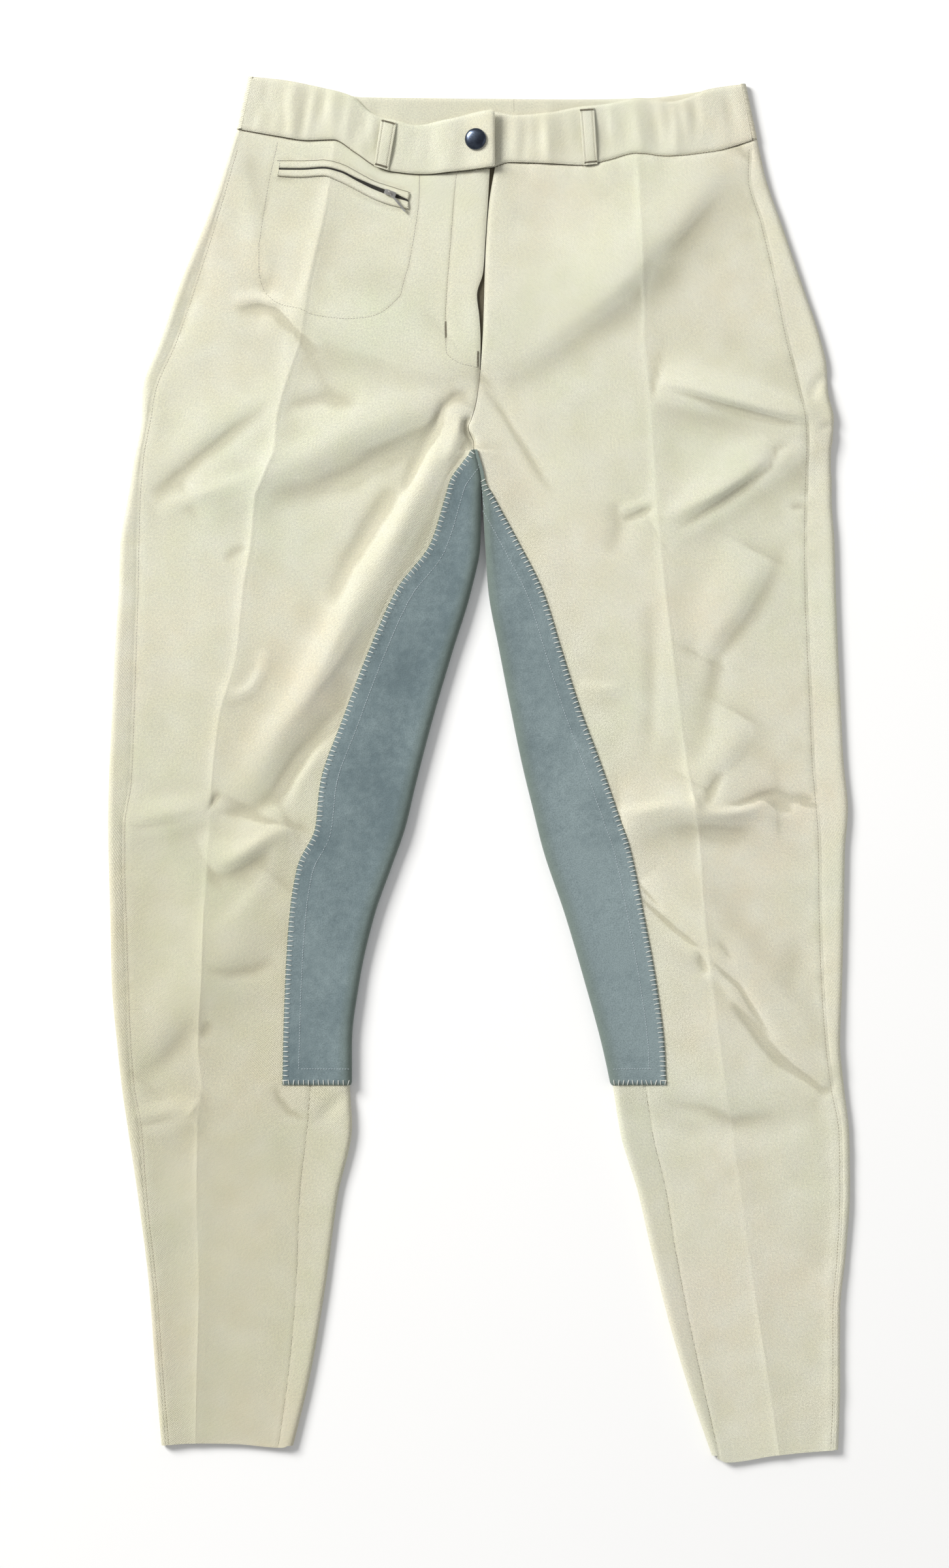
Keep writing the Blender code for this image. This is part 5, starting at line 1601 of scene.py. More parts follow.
@dataclass
class Waistband:
    """The band: two upper halves, of which the right one ends in the snap's tab, and the lower layer."""

    sides: tuple[tuple[float, float], tuple[float, float]] = ((-171, -163), (196, 188))  # x at foot and head
    fold: float = 3.5  # plan radius of the side folds
    lift: float = BAND + 0.6  # underside of the upper layer
    tall: float = 36.0  # about how far it is from foot to head
    pitch: float = 1.6
    pitch_back: float = 3.0
    end_places: tuple[float, ...] = (0.0025, 0.006)  # closer columns beside both ends
    tab_underlap: float = -20.0  # the left half runs on under the right one to here
    tab_step: float = 23.0
    tab_lift: float = 3.4
    tab_lift_from: float = -14.0
    tab_end: tuple[tuple[float, float], ...] = ((424, 11.0), (464, 9.6))
    puckers: tuple[float, ...] = (-135, -121, -107, -94, 28, 37, 49, 132, 142)
    pucker_rise: float = 0.8
    pucker_width: float = 4.0
    streaks: tuple[Ripple, Ripple] = (Ripple(0.8, 6, 21, along=8), Ripple(1.1, 13, 22, along=6))
    streak_lean: float = 5.0  # how far the broader streaks lean from foot to head
    flat: Span = (-3.0, 22.0)  # no streaks about the snap: the middle and the reach of that place
    up_and_down: Span = (0.12, 0.9)  # the part of a wave that the gathers follow, in half turns
    flat_side: float = 10.0  # the gathers fade out over this width beside a side fold
    ups: tuple[float, ...] = (0, 0.015, 0.035, 0.07, 0.13, 0.2, 0.28, 0.36, 0.44, 0.52, 0.6, 0.68, 0.76, 0.83,
                              0.89, 0.94, 0.97, 0.99, 1.0)
    round_edge: float = 1.0
    rounding: float = 0.9  # how far an edge is rounded off
    rounding_most: float = 1.1  # and a corner
    rounding_below: float = 0.6  # the share of it on the lower face
    rounding_back: float = 0.8
    back_gathers: float = 0.8
    relief_reach: int = 14
    cut_front: Cut = Cut(0.20, 0.042, 0.0076)
    cut_back: Cut = Cut(0.38, 0.042, 0.0140)

    def gathers(self, x: Array, up: Array) -> Array:
        """Height of the gathers, strongest half-way up the band."""
        rise = sum(self.pucker_rise * bell(x - at, self.pucker_width) for at in self.puckers)
        middle, reach = self.flat
        fine, broad = self.streaks
        streaks = fine.at(x, up) + broad.at(x + up * self.streak_lean, up)
        return (rise + streaks * (1 - bell(x - middle, reach))) * np.sin(np.pi * mix(*self.up_and_down, up))

    def front(self, leg: Leg, finish: bpy.types.Material) -> bpy.types.Object:
        """One half of the upper layer."""
        is_tab = leg is RIGHT
        side = self.sides[LEGS.index(leg)]
        inset = -leg.out * (self.fold + SEAM_GAP)
        foot_side, head_side = side[0] + inset, side[1] + inset
        tab_end = FloatCurve(self.tab_end)
        ends = (foot_side, float(tab_end(WAIST))) if is_tab else (self.tab_underlap, foot_side)
        count = round((ends[1] - ends[0]) / self.pitch)
        last_places = [1 - place for place in reversed(self.end_places)]
        places = [0, *self.end_places, *(k / count for k in range(1, count)), *last_places, 1]
        x, up = np.meshgrid(mix(*ends, np.array(places)), np.array(self.ups))
        x_up = x + up * np.maximum(0.0, x / foot_side) * (head_side - foot_side)
        y = mix(GAP + waist_seam(x), front_top(x_up), up)
        z = self.lift + self.gathers(x, up) * eased(np.abs(x - foot_side) / self.flat_side)
        if is_tab:
            z = z + (BAND + GAP) * eased((x - self.tab_underlap + self.tab_step) / self.tab_step)
            z = z + self.tab_lift * eased((x - self.tab_lift_from) / (tab_end(y) - self.tab_lift_from))
        low = np.stack([x_up, y, z], axis=2)
        from_end = ends[1] - x if is_tab else x - ends[0]
        edges = sum(bell(away, self.round_edge) for away in (from_end, up * self.tall, (1 - up) * self.tall))
        rounded = np.minimum(self.rounding * edges, self.rounding_most)
        high = low.copy()
        high[:, :, 2] += BAND - rounded
        low[:, :, 2] += rounded * self.rounding_below
        run = np.concatenate([np.zeros((len(x), 1)), np.cumsum(np.diff(x_up, axis=1), axis=1)], axis=1)
        grid = Grid(high, low, np.stack([y, run], axis=2))
        # painted shade: the relief mark darkens the twill in the band's gathers
        grid.marks["relief"] = high[:, :, 2] - smoothed(high[:, :, 2], self.relief_reach)
        piece = dress(grid.build(f"band_front_{leg.name}"), finish, "twill", f"waistband_{leg.name}")
        as_cloth(piece, self.cut_front)
        return piece

    def side_turn(self, side: tuple[float, float], up: float, inwards: int, inset: float) -> list[tuple]:
        """The lower layer round one side fold, from the top to the underside.

        Args:
            side: x of the fold at its foot and head.
            up: 0 at the foot of the band, 1 at its head.
            inwards: which way along X the band lies from the fold.
            inset: distance inside its outer face.

        Returns:
            The points.
        """
        y = mix(GAP + float(waist_seam(side[0])), float(front_top(side[1])), up)
        middle = (self.lift + BAND) / 2
        wide, tall = self.fold - inset, middle - inset
        points = []
        for turn in ROLL_TURNS:
            x = mix(*side, up) + inwards * (self.fold - wide * math.cos(turn))
            points.append((x, y, middle + tall * math.sin(turn)))
        return points

    def back(self, finish: bpy.types.Material) -> bpy.types.Object:
        """The lower layer, which turns up round both side folds."""
        right, left = self.sides
        first_foot, last_foot = right[0] + self.fold, left[0] - self.fold
        count = round((last_foot - first_foot) / self.pitch_back)
        outer, inner = [], []
        for up in self.ups:
            first, last = mix(*right, up) + self.fold, mix(*left, up) - self.fold
            edges = sum(float(bell(away * self.tall, self.round_edge)) for away in (up, 1 - up))
            for rows, inset in ((outer, 0.0), (inner, BAND)):
                row = self.side_turn(right, up, 1, inset)
                for k in range(1, count):
                    x_foot, x_up = mix(first_foot, last_foot, k / count), mix(first, last, k / count)
                    y = mix(GAP + float(back_seam(x_foot)), float(back_top(x_up)), up)
                    gathered = self.back_gathers * float(self.gathers(np.array(x_up), np.array(up)))
                    row.append((x_up, y, inset - self.rounding_back * edges + gathered if inset else 0.0))
                rows.append(row + self.side_turn(left, up, -1, inset)[::-1])
        outside, inside = np.array(outer), np.array(inner)
        grid = Grid(outside, inside, inside[:, :, :2].copy())
        grid.marks["relief"] = np.zeros(outside.shape[:2])
        piece = dress(grid.build("band_back"), finish, "twill", "waistband_back")
        as_cloth(piece, self.cut_back)
        return piece


@dataclass
class BeltLoop:
    """A belt loop: a strap that lies on the band at both ends and bows clear of it between them."""

    side: Side
    corners: Path  # two of the foot, then two of the head
    cut: Cut
    thick: float = 1.0
    bow: float = 1.3
    rows: int = 24
    across: int = 18
    edge_share: float = 0.45  # of the thickness, at the long edges
    square: float = 0.35  # the smaller, the flatter between them
    stitched: tuple[float, float] = (0.16, 0.84)  # where the rows of stitches draw it in, as shares across
    stitch_depth: float = 0.3
    stitch_reach: float = 0.05
    relief_share: float = 0.8

    def build(self, band: Surface, finish: bpy.types.Material) -> bpy.types.Object:
        """Makes the loop on its band, dressed."""
        foot_low, foot_high, head_low, head_high = (np.array(corner, float) for corner in self.corners)
        share = np.linspace(0, 1, self.across + 1)
        points = np.zeros((self.rows + 1, len(share), 3))
        for row, up in enumerate(np.linspace(0, 1, self.rows + 1)):
            low, high = mix(foot_low, head_low, up), mix(foot_high, head_high, up)
            places = [mix(low, high, t) for t in share]
            height = max(band.height(*place) for place in places) + GAP + self.bow * math.sin(math.pi * up)
            points[row] = [(*place, height) for place in places]
        crown = np.sin(np.pi * share) ** self.square
        drawn = sum(bell(share - place, self.stitch_reach) for place in self.stitched)
        raised = points.copy()
        raised[:, :, 2] += self.thick * mix(self.edge_share, 1.0, crown) - self.stitch_depth * drawn
        grid = Grid(raised, points, points[:, :, :2].copy())
        # painted shade: the relief mark darkens the loop towards its long edges
        below_crown = raised[:, :, 2] - raised[:, :, 2].max(axis=1, keepdims=True)
        grid.marks["relief"] = below_crown * self.relief_share
        name = self.side.label
        piece = dress(grid.build(f"loop_{name}"), finish, "twill", f"belt_loop_{name}")
        as_cloth(piece, self.cut)
        return piece


BELT_LOOPS = {
    Side.RIGHT: BeltLoop(Side.RIGHT, ((-74.0, 424.7), (-63.9, 421.7), (-69, 457.5), (-58, 455.0)),
                         Cut(0.011, 0.036, 0.00038)),
    Side.LEFT: BeltLoop(Side.LEFT, ((73.6, 425.4), (83.5, 426.4), (70.5, 465.5), (81.0, 466.0)),
                        Cut(0.011, 0.040, 0.00042)),
}


# ---- Snap ----


@dataclass
class Snap:
    """The snap's cap on the lifted tab."""

    at: tuple[float, float] = (-2.4, 443.0)
    radius: float = 7.6
    height: float = 3.0
    rim: float = 0.7
    foot_inset: float = 0.4  # the rim's lower edge is cut back by this
    foot_height: float = 0.25
    seat_share: float = 0.8  # part of its radius at which the tab's slope is read
    steps: int = 64
    dome_steps: int = 14
    dome_lift: float = 0.9  # 1 for a round dome, less for a fuller one
    dome_width: float = 0.8

    def turned(self, name: str, profile: Path, place: Matrix) -> bpy.types.Object:
        """A closed round piece.

        Args:
            name: its name.
            profile: radius and height pairs in mm that start and end on the axis.
            place: where its axis stands.

        Returns:
            The piece.
        """
        bm = bmesh.new()
        verts = [bm.verts.new((radius * MM, 0, height * MM)) for radius, height in profile]
        edges = [bm.edges.new(pair) for pair in pairwise(verts)]
        bmesh.ops.spin(bm, geom=verts + edges, cent=(0, 0, 0), axis=(0, 0, 1), angle=math.tau,
                       steps=self.steps, use_merge=True)
        bmesh.ops.remove_doubles(bm, verts=bm.verts, dist=WELD)
        bmesh.ops.recalc_face_normals(bm, faces=bm.faces)
        bmesh.ops.transform(bm, matrix=place, verts=bm.verts)
        return finished(name, bm)

    def build(self, tab: Surface, finish: bpy.types.Material) -> bpy.types.Object:
        """Makes the cap, dressed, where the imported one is."""
        x, y = self.at
        reach = self.radius * self.seat_share
        low, high = (tab.height(x + way, y) for way in (-reach, reach))
        slope = (high - low) / (2 * reach)
        under = [self.radius * way for way in (-1, -0.5, 0, 0.5, 1)]
        seat = max(tab.height(x + aside, y) - slope * aside for aside in under)
        leaned = Matrix.Rotation(-math.atan(slope), 4, "Y")
        place = Matrix.Translation(Vector((x, y, seat + GAP)) * MM) @ leaned
        cap = [(0, 0), (self.radius - self.foot_inset, 0)]
        cap += [(self.radius, self.foot_height), (self.radius, self.rim)]
        for k in range(1, self.dome_steps):
            turn = math.pi / 2 * k / self.dome_steps
            swell = mix(self.rim, self.height, math.sin(turn) ** self.dome_lift)
            cap.append((self.radius * math.cos(turn) ** self.dome_width, swell))
        piece = self.turned("snap_cap_dome", [*cap, (0, self.height)], place)
        return dress(piece, finish, "snap_metal", "snap_cap")


# ---- Sewing ----


class Lay(Enum):
    """Which way a stitch points on its seam."""

    ALONG = 0
    ACROSS = 90


class Stitch(NamedTuple):
    """A kind of stitch, in mm."""

    pitch: float  # from one to the next
    length: float
    thick: float
    lay: Lay = Lay.ALONG
    sunk: float = 0.1  # how deep the thread lies in the cloth
    smooth: bool = True  # whether its row curves through the corners of its path
    loose: float = 6.0  # how unevenly the stitches turn, degrees


TOOTH = Stitch(1.3, 1.5, 0.6, Lay.ACROSS, loose=0.0)
BLANKET = Stitch(3.4, 4.7, 0.55, Lay.ACROSS, sunk=0.0)
DASH = Stitch(1.9, 1.35, 0.42, sunk=0.02)
FINE = Stitch(2.0, 1.6, 0.36)
BAR = Stitch(0.55, 1.7, 0.42, Lay.ACROSS, sunk=0.0, smooth=False, loose=3.0)
LOOP_EDGE = Stitch(1.6, 1.1, 0.34, sunk=0.05)
CENTRE_BACK = Stitch(1.2, 1.2, 0.3, smooth=False)
WELT_END = Stitch(1.5, 1.1, 0.34, sunk=0.0, smooth=False)
WELT_HEAD = Stitch(1.6, 1.9, 0.42, loose=3.0)
WELT_FOOT = Stitch(2.0, 1.8, 0.28, loose=3.0)
OUTSEAM = Stitch(2.2, 1.6, 0.34)
INSEAM = Stitch(2.2, 1.7, 0.32, sunk=0.0)
WAIST_STITCH = Stitch(2.0, 1.9, 0.55, sunk=-0.1, loose=4.0)


class Seam(NamedTuple):
    """A row of stitches."""

    stitch: Stitch
    path: Path
    aside: float = 0.0  # how far the row is moved to the left of its path


ROW_SPREAD = 0.05  # how far the stitches stray from their row
LENGTH_SPREAD = (0.92, 1.08)  # shares of the length of a stitch
STITCH_HALF = 0.4  # half the height of a stitch, as a share of its thickness


class Sewing:
    """Rows of stitches laid on finished pieces."""

    def __init__(self, seed: int) -> None:
        """Makes one stitch to copy.

        Args:
            seed: for the small unevenness of the stitches.
        """
        self.chance = np.random.default_rng(seed)
        bm = bmesh.new()
        bmesh.ops.create_uvsphere(bm, u_segments=6, v_segments=5, radius=0.5,
                                  matrix=Matrix.Rotation(math.radians(90), 4, "Y"))
        self.stitch = bpy.data.meshes.new("stitch")
        bm.to_mesh(self.stitch)
        bm.free()

    def sew(self, seams: Sequence[Seam], over: Surface, name: str, finish: bpy.types.Material,
            slot: str = "twill") -> bpy.types.Object:
        """Makes the stitches of some seams as one piece.

        Args:
            seams: the rows of stitches.
            over: what they lie on.
            name: the piece's name.
            finish: the thread.
            slot: handed on to dress, which does not use it.

        Returns:
            The piece, dressed.
        """
        bm = bmesh.new()
        for seam in seams:
            self.lay_row(bm, seam, over)
        return dress(finished(name, bm, STITCH_SHARP), finish, slot)

    def lay_row(self, bm: bmesh.types.BMesh, seam: Seam, over: Surface) -> None:
        """Adds one row of stitches to a mesh.

        Args:
            bm: the mesh.
            seam: the row.
            over: what it lies on.
        """
        kind = seam.stitch
        for x, y, run, rise in resampled(seam.path, kind.pitch, kind.smooth):
            aside = seam.aside + self.chance.normal(0, ROW_SPREAD)
            point, normal = over.at(x - rise * aside, y + run * aside)
            turn = math.radians(kind.lay.value + self.chance.normal(0, kind.loose))
            along = Vector((run * math.cos(turn) - rise * math.sin(turn),
                            run * math.sin(turn) + rise * math.cos(turn), 0))
            along = (along - normal * along.dot(normal)).normalized()
            turned = Matrix((along, normal.cross(along), normal)).transposed().to_4x4()
            length = kind.length * self.chance.uniform(*LENGTH_SPREAD)
            size = Matrix.Diagonal(Vector((length, kind.thick, kind.thick * 2 * STITCH_HALF)) * MM).to_4x4()
            centre = point + normal * (kind.thick * STITCH_HALF - kind.sunk) * MM
            place = Matrix.Translation(centre) @ turned @ size
            before = len(bm.verts)
            bm.from_mesh(self.stitch)
            bm.verts.ensure_lookup_table()
            for vert in bm.verts[before:]:
                vert.co = place @ vert.co


def line_path(line: Line, low: float, high: float, pitch: float = 6.0) -> list[tuple[float, float]]:
    """Points along a line of a leg.

    Args:
        line: the line.
        low: its first level.
        high: its last level.
        pitch: how far apart they are.

    Returns:
        The points, x and y in mm.
    """
    levels = np.linspace(low, high, max(2, round((high - low) / pitch)))
    return [(float(x), float(y)) for x, y in zip(line(levels), levels)]


# ---- Zip pocket ----

WELTS_PARTED = 0.6  # how far apart the soft edges of the welts lie, as a share of the opening


class PocketRow(NamedTuple):
    """One section of the welt pocket: the edges of its two welts and the zip line between them."""

    x_top: float
    y_top: float
    x_zip: float
    y_zip: float
    x_low: float
    y_low: float
    half_open: float

    def upper(self) -> Path:
        """The two edges of the upper welt."""
        return (self.x_top, self.y_top), (self.x_zip, self.y_zip + WELTS_PARTED * self.half_open)

    def lower(self) -> Path:
        """The two edges of the lower welt."""
        return (self.x_zip, self.y_zip - WELTS_PARTED * self.half_open), (self.x_low, self.y_low)

    def tape(self) -> Path:
        """The two edges of the zip's tape."""
        half = self.half_open - GAP
        return (self.x_zip, self.y_zip + half), (self.x_zip, self.y_zip - half)


POCKET = (
    PocketRow(-141.5, 428.5, -141, 423, -142, 418, 0.8),
    PocketRow(-125, 428.3, -125, 422.8, -126, 417.2, 0.8),
    PocketRow(-110, 428.8, -110, 423.6, -110, 418, 0.9),
    PocketRow(-97, 426, -98, 421.2, -99, 414.5, 1.1),
    PocketRow(-85, 420, -86, 415.4, -87, 408.6, 1.6),
    PocketRow(-73, 413.8, -74, 409.9, -75.5, 402.6, 2.3),
    PocketRow(-61, 409.8, -62, 405.3, -63.5, 398, 2.5),
    PocketRow(-49, 406, -50, 400.6, -49.5, 394.5, 1.0),
)


@dataclass(frozen=True)
class Strip:
    """One strip along the pocket."""

    edges: Callable[[PocketRow], Path]  # its two long edges at a section
    cut: Cut
    thick: float
    across: int  # how many cells wide it is
    puffed: float  # how far its middle is rounded up
    sections: int = 96
    rib: Ripple = Ripple(0.12, 1.0, 31, across=1.6, along=0.1)
    edge_share: float = 0.5  # of the thickness, at its edges
    square: float = 2.5  # the more, the squarer its edges
    level: float = 0.75  # of the crown, where the relief is 0
    relief: float = 1.2

    def build(self, name: str, over: Surface) -> bpy.types.Object:
        """Makes the strip.

        Args:
            name: its name.
            over: what it lies on.

        Returns:
            The strip.
        """
        lines = [FloatCurve(list(enumerate(values))) for values in zip(*POCKET)]
        share = np.linspace(0, 1, self.across + 1)
        points = np.zeros((self.sections + 1, self.across + 1, 3))
        for k in range(self.sections + 1):
            at = np.array(mix(0, len(POCKET) - 1, k / self.sections))
            row = PocketRow(*(float(line(at)) for line in lines))
            head, foot = (np.array(edge) for edge in self.edges(row))
            places = [mix(head, foot, t) for t in share]
            points[k] = [(*place, over.height(*place)) for place in places]
        points[:, :, 2] = np.maximum(points[:, :, 2], smoothed(points[:, :, 2], 3)) + GAP
        crown = np.sin(np.pi * share)
        raised = points.copy()
        raised[:, :, 2] += self.thick * mix(self.edge_share, 1.0, np.minimum(1, crown * self.square))
        raised[:, :, 2] += (self.puffed + self.rib.at(points[:, :, 0], points[:, :, 1])) * crown
        run = np.concatenate([[0], np.cumsum(np.linalg.norm(np.diff(points[:, 0], axis=0), axis=1))])
        grain = np.stack([np.broadcast_to(run[:, None], points.shape[:2]), points[:, :, 1]], axis=2)
        grid = Grid(raised, points, grain)
        # painted shade: the relief mark darkens each twill strip towards its long edges
        grid.marks["relief"] = np.broadcast_to((crown - self.level) * self.relief, points.shape[:2])
        return grid.build(name)


@dataclass
class WeltPocket:
    """Two ribbed welts with the zip between them, laid on the right front."""

    over: Surface
    upper: Strip = Strip(PocketRow.upper, Cut(0.095, 0.01, 0.0005), 1.0, 8, 0.25)
    lower: Strip = Strip(PocketRow.lower, Cut(0.095, 0.01, 0.0005), 1.0, 8, 0.25)
    tape: Strip = Strip(PocketRow.tape, Cut(0.095, 0.01, 0.00029), 0.6, 6, 0.0)
    seed: int = 9

    def build(self, welt: bpy.types.Material, tape: bpy.types.Material) -> list[bpy.types.Object]:
        """Makes the two welts, and the tape with its coil of teeth, dressed."""
        pieces = []
        for strip, name, finish, slot, node in (
            (self.upper, "welt_upper", welt, "twill", "pocket_welt_upper"),
            (self.lower, "welt_lower", welt, "twill", "pocket_welt_lower"),
            (self.tape, "zip_tape_strip", tape, "zip_tape", "pocket_zip"),
        ):
            pieces.append(dress(strip.build(name, self.over), finish, slot, node))
            as_cloth(pieces[-1], strip.cut)
        teeth = Seam(TOOTH, [(row.x_zip, row.y_zip) for row in POCKET])
        Sewing(self.seed).sew([teeth], Surface(pieces[-1]), "zip_teeth", tape, "zip_tape")
        return pieces


# ---- Rows of stitches ----


@dataclass
class Topstitching:
    """Every row of stitches that shows, on the pieces that it is sewn through."""

    sewing: Sewing
    finishes: Finishes
    fly_bars: tuple[Path, ...] = (((-23.6, 315), (-23.4, 304)), ((-0.9, 294), (-0.9, 283.6)))
    loop_edges: tuple[Path, ...] = (
        ((-67.2, 457), (-72.2, 426)), ((-60.0, 454.5), (-65.6, 424)),
        ((72.2, 464), (75.3, 427.5)), ((79.4, 464.5), (81.8, 428.2)),
    )  # fmt: skip
    loop_bars: tuple[Path, ...] = (
        ((-68.5, 456.6), (-59.2, 454.2)), ((-73.0, 426.2), (-64.8, 423.8)),
        ((71.2, 464.0), (80.4, 464.6)), ((74.4, 427.2), (82.8, 428.1)),
    )  # fmt: skip
    welt_ends: tuple[Path, ...] = (((-140.2, 428.0), (-141.6, 418.6)), ((-49.9, 405.6), (-50.2, 395.0)))
    above_welt: float = 0.5  # where the welts are sewn in, from their edges
    below_welt: float = 0.4
    centre_back: Path = ((24.6, 463.5), (24.6, 472.0))
    waist_spans: tuple[Span, Span] = ((-169.0, 8.0), (13.0, 194.0))  # x of the ends of each half
    waist_pitch: float = 4.0
    below_waist: float = 0.2
    hem_end: float = 6.0  # the rows along the legs start this far above the hem
    waist_end: float = 12.0  # and the outer one runs on this far past the waist seam
    blanket_aside: float = 1.9  # from the suede's edge
    dashes_aside: float = 11.5
    dashes_from: int = 2  # the point of the edge where the dashes start
    foot_points: int = 8

    def on_suede(self, leg: Leg, top: float, over: Surface) -> None:
        """Sews the stitches along the edge and the foot of one suede.

        Args:
            leg: its leg.
            top: the level where its edge ends.
            over: what carries them.
        """
        corner, fold = float(leg.patch(PATCH_FOOT)), float(leg.inner(PATCH_FOOT))
        insets = np.linspace(1, abs(corner - fold) - 1, self.foot_points)
        foot = [(corner - leg.out * inset, PATCH_FOOT) for inset in insets]
        ways = ((line_path(leg.patch, PATCH_FOOT, top), leg.out), (foot, -leg.out))
        blanket = [Seam(BLANKET, path, way * self.blanket_aside) for path, way in ways]
        dashes = [Seam(DASH, path[self.dashes_from:], way * self.dashes_aside) for path, way in ways]
        self.sewing.sew(blanket, over, f"blanket_stitch_{leg.name}", self.finishes.pale_thread)
        self.sewing.sew(dashes, over, f"suede_dashes_{leg.name}", self.finishes.grey_thread)

    def on_front(self, on: dict[str, Surface]) -> None:
        """Sews the rows of the pocket, the fly, the loops and the band.

        Args:
            on: what carries them: right, loops, welts and inside of the band.
        """
        sew, olive, tan = self.sewing.sew, self.finishes.seam_thread, self.finishes.tan_thread
        sew([Seam(FINE, POCKET_BAG), Seam(FINE, FLY_STITCH)], on["right"], "pocket_and_fly_stitches", tan)
        sew([Seam(BAR, path) for path in self.fly_bars], on["right"], "fly_bartacks", olive)
        sew([Seam(LOOP_EDGE, path) for path in self.loop_edges], on["loops"], "loop_stitches", tan)
        sew([Seam(BAR, path) for path in self.loop_bars], on["loops"], "loop_bartacks", olive)
        sew([Seam(CENTRE_BACK, self.centre_back)], on["inside"], "centre_back_seam", tan)
        sew([Seam(WELT_END, path) for path in self.welt_ends], on["welts"], "welt_end_stitches", olive)
        head = Seam(WELT_HEAD, [(row.x_top, row.y_top + self.above_welt) for row in POCKET])
        foot = Seam(WELT_FOOT, [(row.x_low, row.y_low - self.below_welt) for row in POCKET])
        sew([head, foot], on["right"], "welt_seams", olive)

    def on_leg(self, leg: Leg, over: Surface) -> None:
        """Sews the outseam, the waist seam and the inseam of one leg."""
        sew, olive, tan = self.sewing.sew, self.finishes.seam_thread, self.finishes.tan_thread
        outseam = line_path(leg.outseam, HEM + self.hem_end, WAIST + self.waist_end)
        sew([Seam(OUTSEAM, outseam, leg.out * OUTSEAM_ROW)], over, f"outseam_stitches_{leg.name}", tan)
        places = np.arange(*self.waist_spans[LEGS.index(leg)], self.waist_pitch)
        waist = [(x, float(waist_seam(x)) - self.below_waist) for x in places]
        sew([Seam(WAIST_STITCH, waist)], over, f"waist_seam_{leg.name}", olive)
        inseam = line_path(leg.front_edge, HEM + self.hem_end, PATCH_FOOT - 1)
        sew([Seam(INSEAM, inseam)], over, f"inseam_stitches_{leg.name}", tan)


# ---- Studio ----


class Lamp(NamedTuple):
    """A square soft lamp that looks at the middle of the breeches."""

    name: str
    place: tuple[float, float, float]
    size: float
    power: float
    colour: tuple[float, float, float]

    def build(self) -> None:
        """Puts it in the scene."""
        lamp = bpy.data.lights.new(self.name, "AREA")
        lamp.shape = "SQUARE"
        lamp.size, lamp.energy, lamp.color = self.size, self.power, self.colour
        made = bpy.data.objects.new(self.name, lamp)
        made.location = self.place
        made.rotation_euler = (-Vector(self.place)).to_track_quat("-Z", "Y").to_euler()
        bpy.context.scene.collection.objects.link(made)


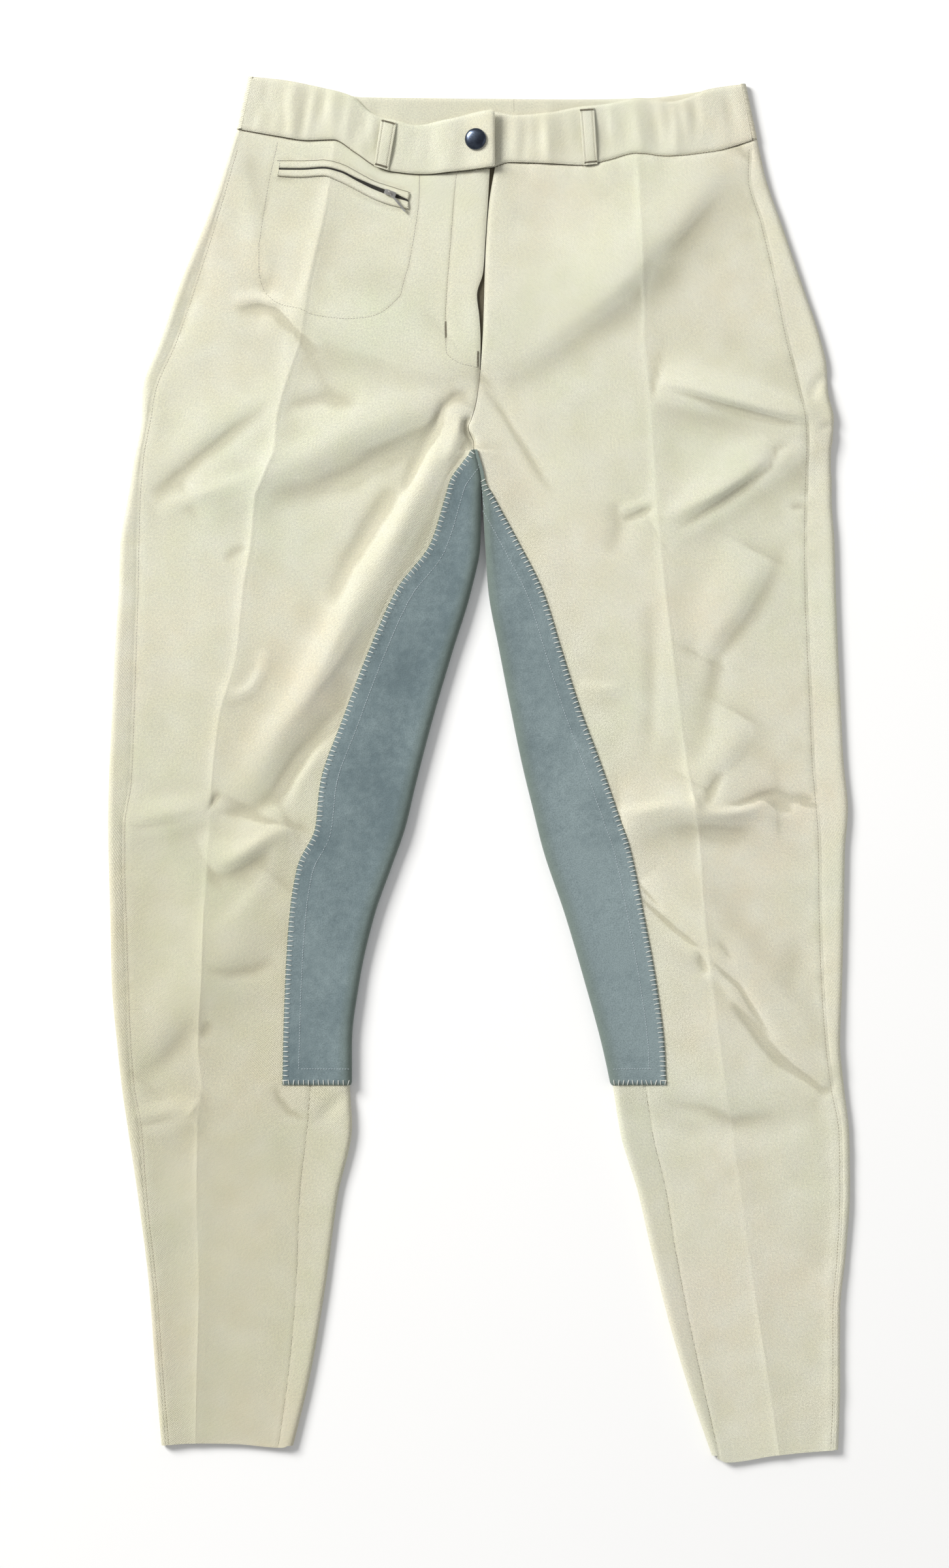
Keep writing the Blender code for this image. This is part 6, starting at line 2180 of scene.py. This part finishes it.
@dataclass
class Studio:
    """The floor, the light and the camera."""

    frame_height: float = 1.104  # metres that the view takes in, top to bottom
    distance: float = 2.6
    look_at: tuple[float, float, float] = (-0.00322, -0.01012, 0.005)
    sensor: float = 36.0
    floor_size: float = 6.0
    floor_drop: float = 0.0002  # under the lowest point of the breeches
    floor_colour: Colour = (0.93, 0.93, 0.93, 1)
    floor_pale: Colour = (0.95, 0.95, 0.95, 1)
    fill: float = 0.37
    lamps: tuple[Lamp, ...] = (
        Lamp("key", (-4.2, 3.1, 3.35), 2.4, 505, (1.0, 0.99, 0.965)),
        Lamp("fill", (2.2, -0.5, 2.4), 2.5, 10, (0.96, 0.98, 1.0)),
    )

    def floor(self) -> None:
        """A pale floor under the breeches."""
        bm = bmesh.new()
        place = Matrix.Translation((0, 0, CAD_BOX[0][2] - self.floor_drop))
        bmesh.ops.create_grid(bm, x_segments=1, y_segments=1, size=self.floor_size, matrix=place)
        piece = finished("floor", bm)
        nodes = Shader("pale floor")
        colour = nodes.blend(nodes.noise(nodes.place, 3.0), self.floor_colour, self.floor_pale)
        nodes.feed(nodes.inputs["Base Color"], colour)
        nodes.feed(nodes.inputs["Roughness"], 0.95)
        piece.data.materials.append(nodes.material)

    def camera(self) -> None:
        """The camera, straight above."""
        camera = bpy.data.cameras.new("camera")
        camera.sensor_fit = "VERTICAL"
        camera.sensor_height = self.sensor
        camera.lens = self.sensor * self.distance / self.frame_height
        made = bpy.data.objects.new("camera", camera)
        made.location = Vector(self.look_at) + Vector((0, 0, self.distance))
        bpy.context.scene.collection.objects.link(made)
        bpy.context.scene.camera = made

    def build(self) -> None:
        """Sets the studio up."""
        self.floor()
        world = bpy.data.worlds.new("studio")
        world.use_nodes = True
        back = world.node_tree.nodes["Background"]
        back.inputs["Color"].default_value = (1.0, 1.0, 1.0, 1)
        back.inputs["Strength"].default_value = self.fill
        bpy.context.scene.world = world
        for lamp in self.lamps:
            lamp.build()
        self.camera()
        bpy.context.scene.view_settings.view_transform = "Standard"


TONGUE_TOPS = {Side.RIGHT: CROTCH, Side.LEFT: TONGUE_TOP_LEFT}
NAPS = {Side.RIGHT: Nap(0.05, 0.15), Side.LEFT: Nap(0.5, 0.3)}


def main() -> None:
    """Builds the breeches piece by piece."""
    logging.basicConfig(level=logging.INFO, format="%(message)s", stream=sys.stdout)
    Studio().build()
    finishes = Finishes()
    fronts, backs, suedes = {}, {}, {}
    for leg in LEGS:
        fronts[leg] = FrontPanel(leg).build(finishes.twill)
        backs[leg] = BackPanel(leg).build(finishes.twill)
        suedes[leg] = SuedeSeat(leg, TONGUE_TOPS[leg.side], NAPS[leg.side]).build(finishes.suede)
    FlyShield().build(finishes.facing)
    waistband = Waistband()
    bands = {leg: waistband.front(leg, finishes.twill) for leg in LEGS}
    band_back = waistband.back(finishes.lining)
    on_bands = {leg: Surface(bands[leg], fronts[leg]) for leg in LEGS}
    loops = [BELT_LOOPS[leg.side].build(on_bands[leg], finishes.twill) for leg in LEGS]
    Snap().build(on_bands[RIGHT], finishes.gunmetal)
    pocket = WeltPocket(Surface(fronts[RIGHT])).build(finishes.twill, finishes.tape)

    metals = {"snap_stud": finishes.gunmetal, "zip_slider": finishes.nickel, "pull_tab": finishes.nickel}
    for name, finish in metals.items():
        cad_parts[name].data.materials.clear()
        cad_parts[name].data.materials.append(finish)

    topstitching = Topstitching(Sewing(seed=5), finishes)
    for leg in LEGS:
        topstitching.on_suede(leg, TONGUE_TOPS[leg.side], Surface(fronts[leg], backs[leg], suedes[leg]))
    on_legs = {leg: Surface(fronts[leg], backs[leg]) for leg in LEGS}
    topstitching.on_front({"right": on_legs[RIGHT], "loops": Surface(*loops), "welts": Surface(*pocket),
                           "inside": Surface(band_back)})
    for leg in LEGS:
        topstitching.on_leg(leg, on_legs[leg])
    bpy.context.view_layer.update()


if __name__ == "__main__":
    main()
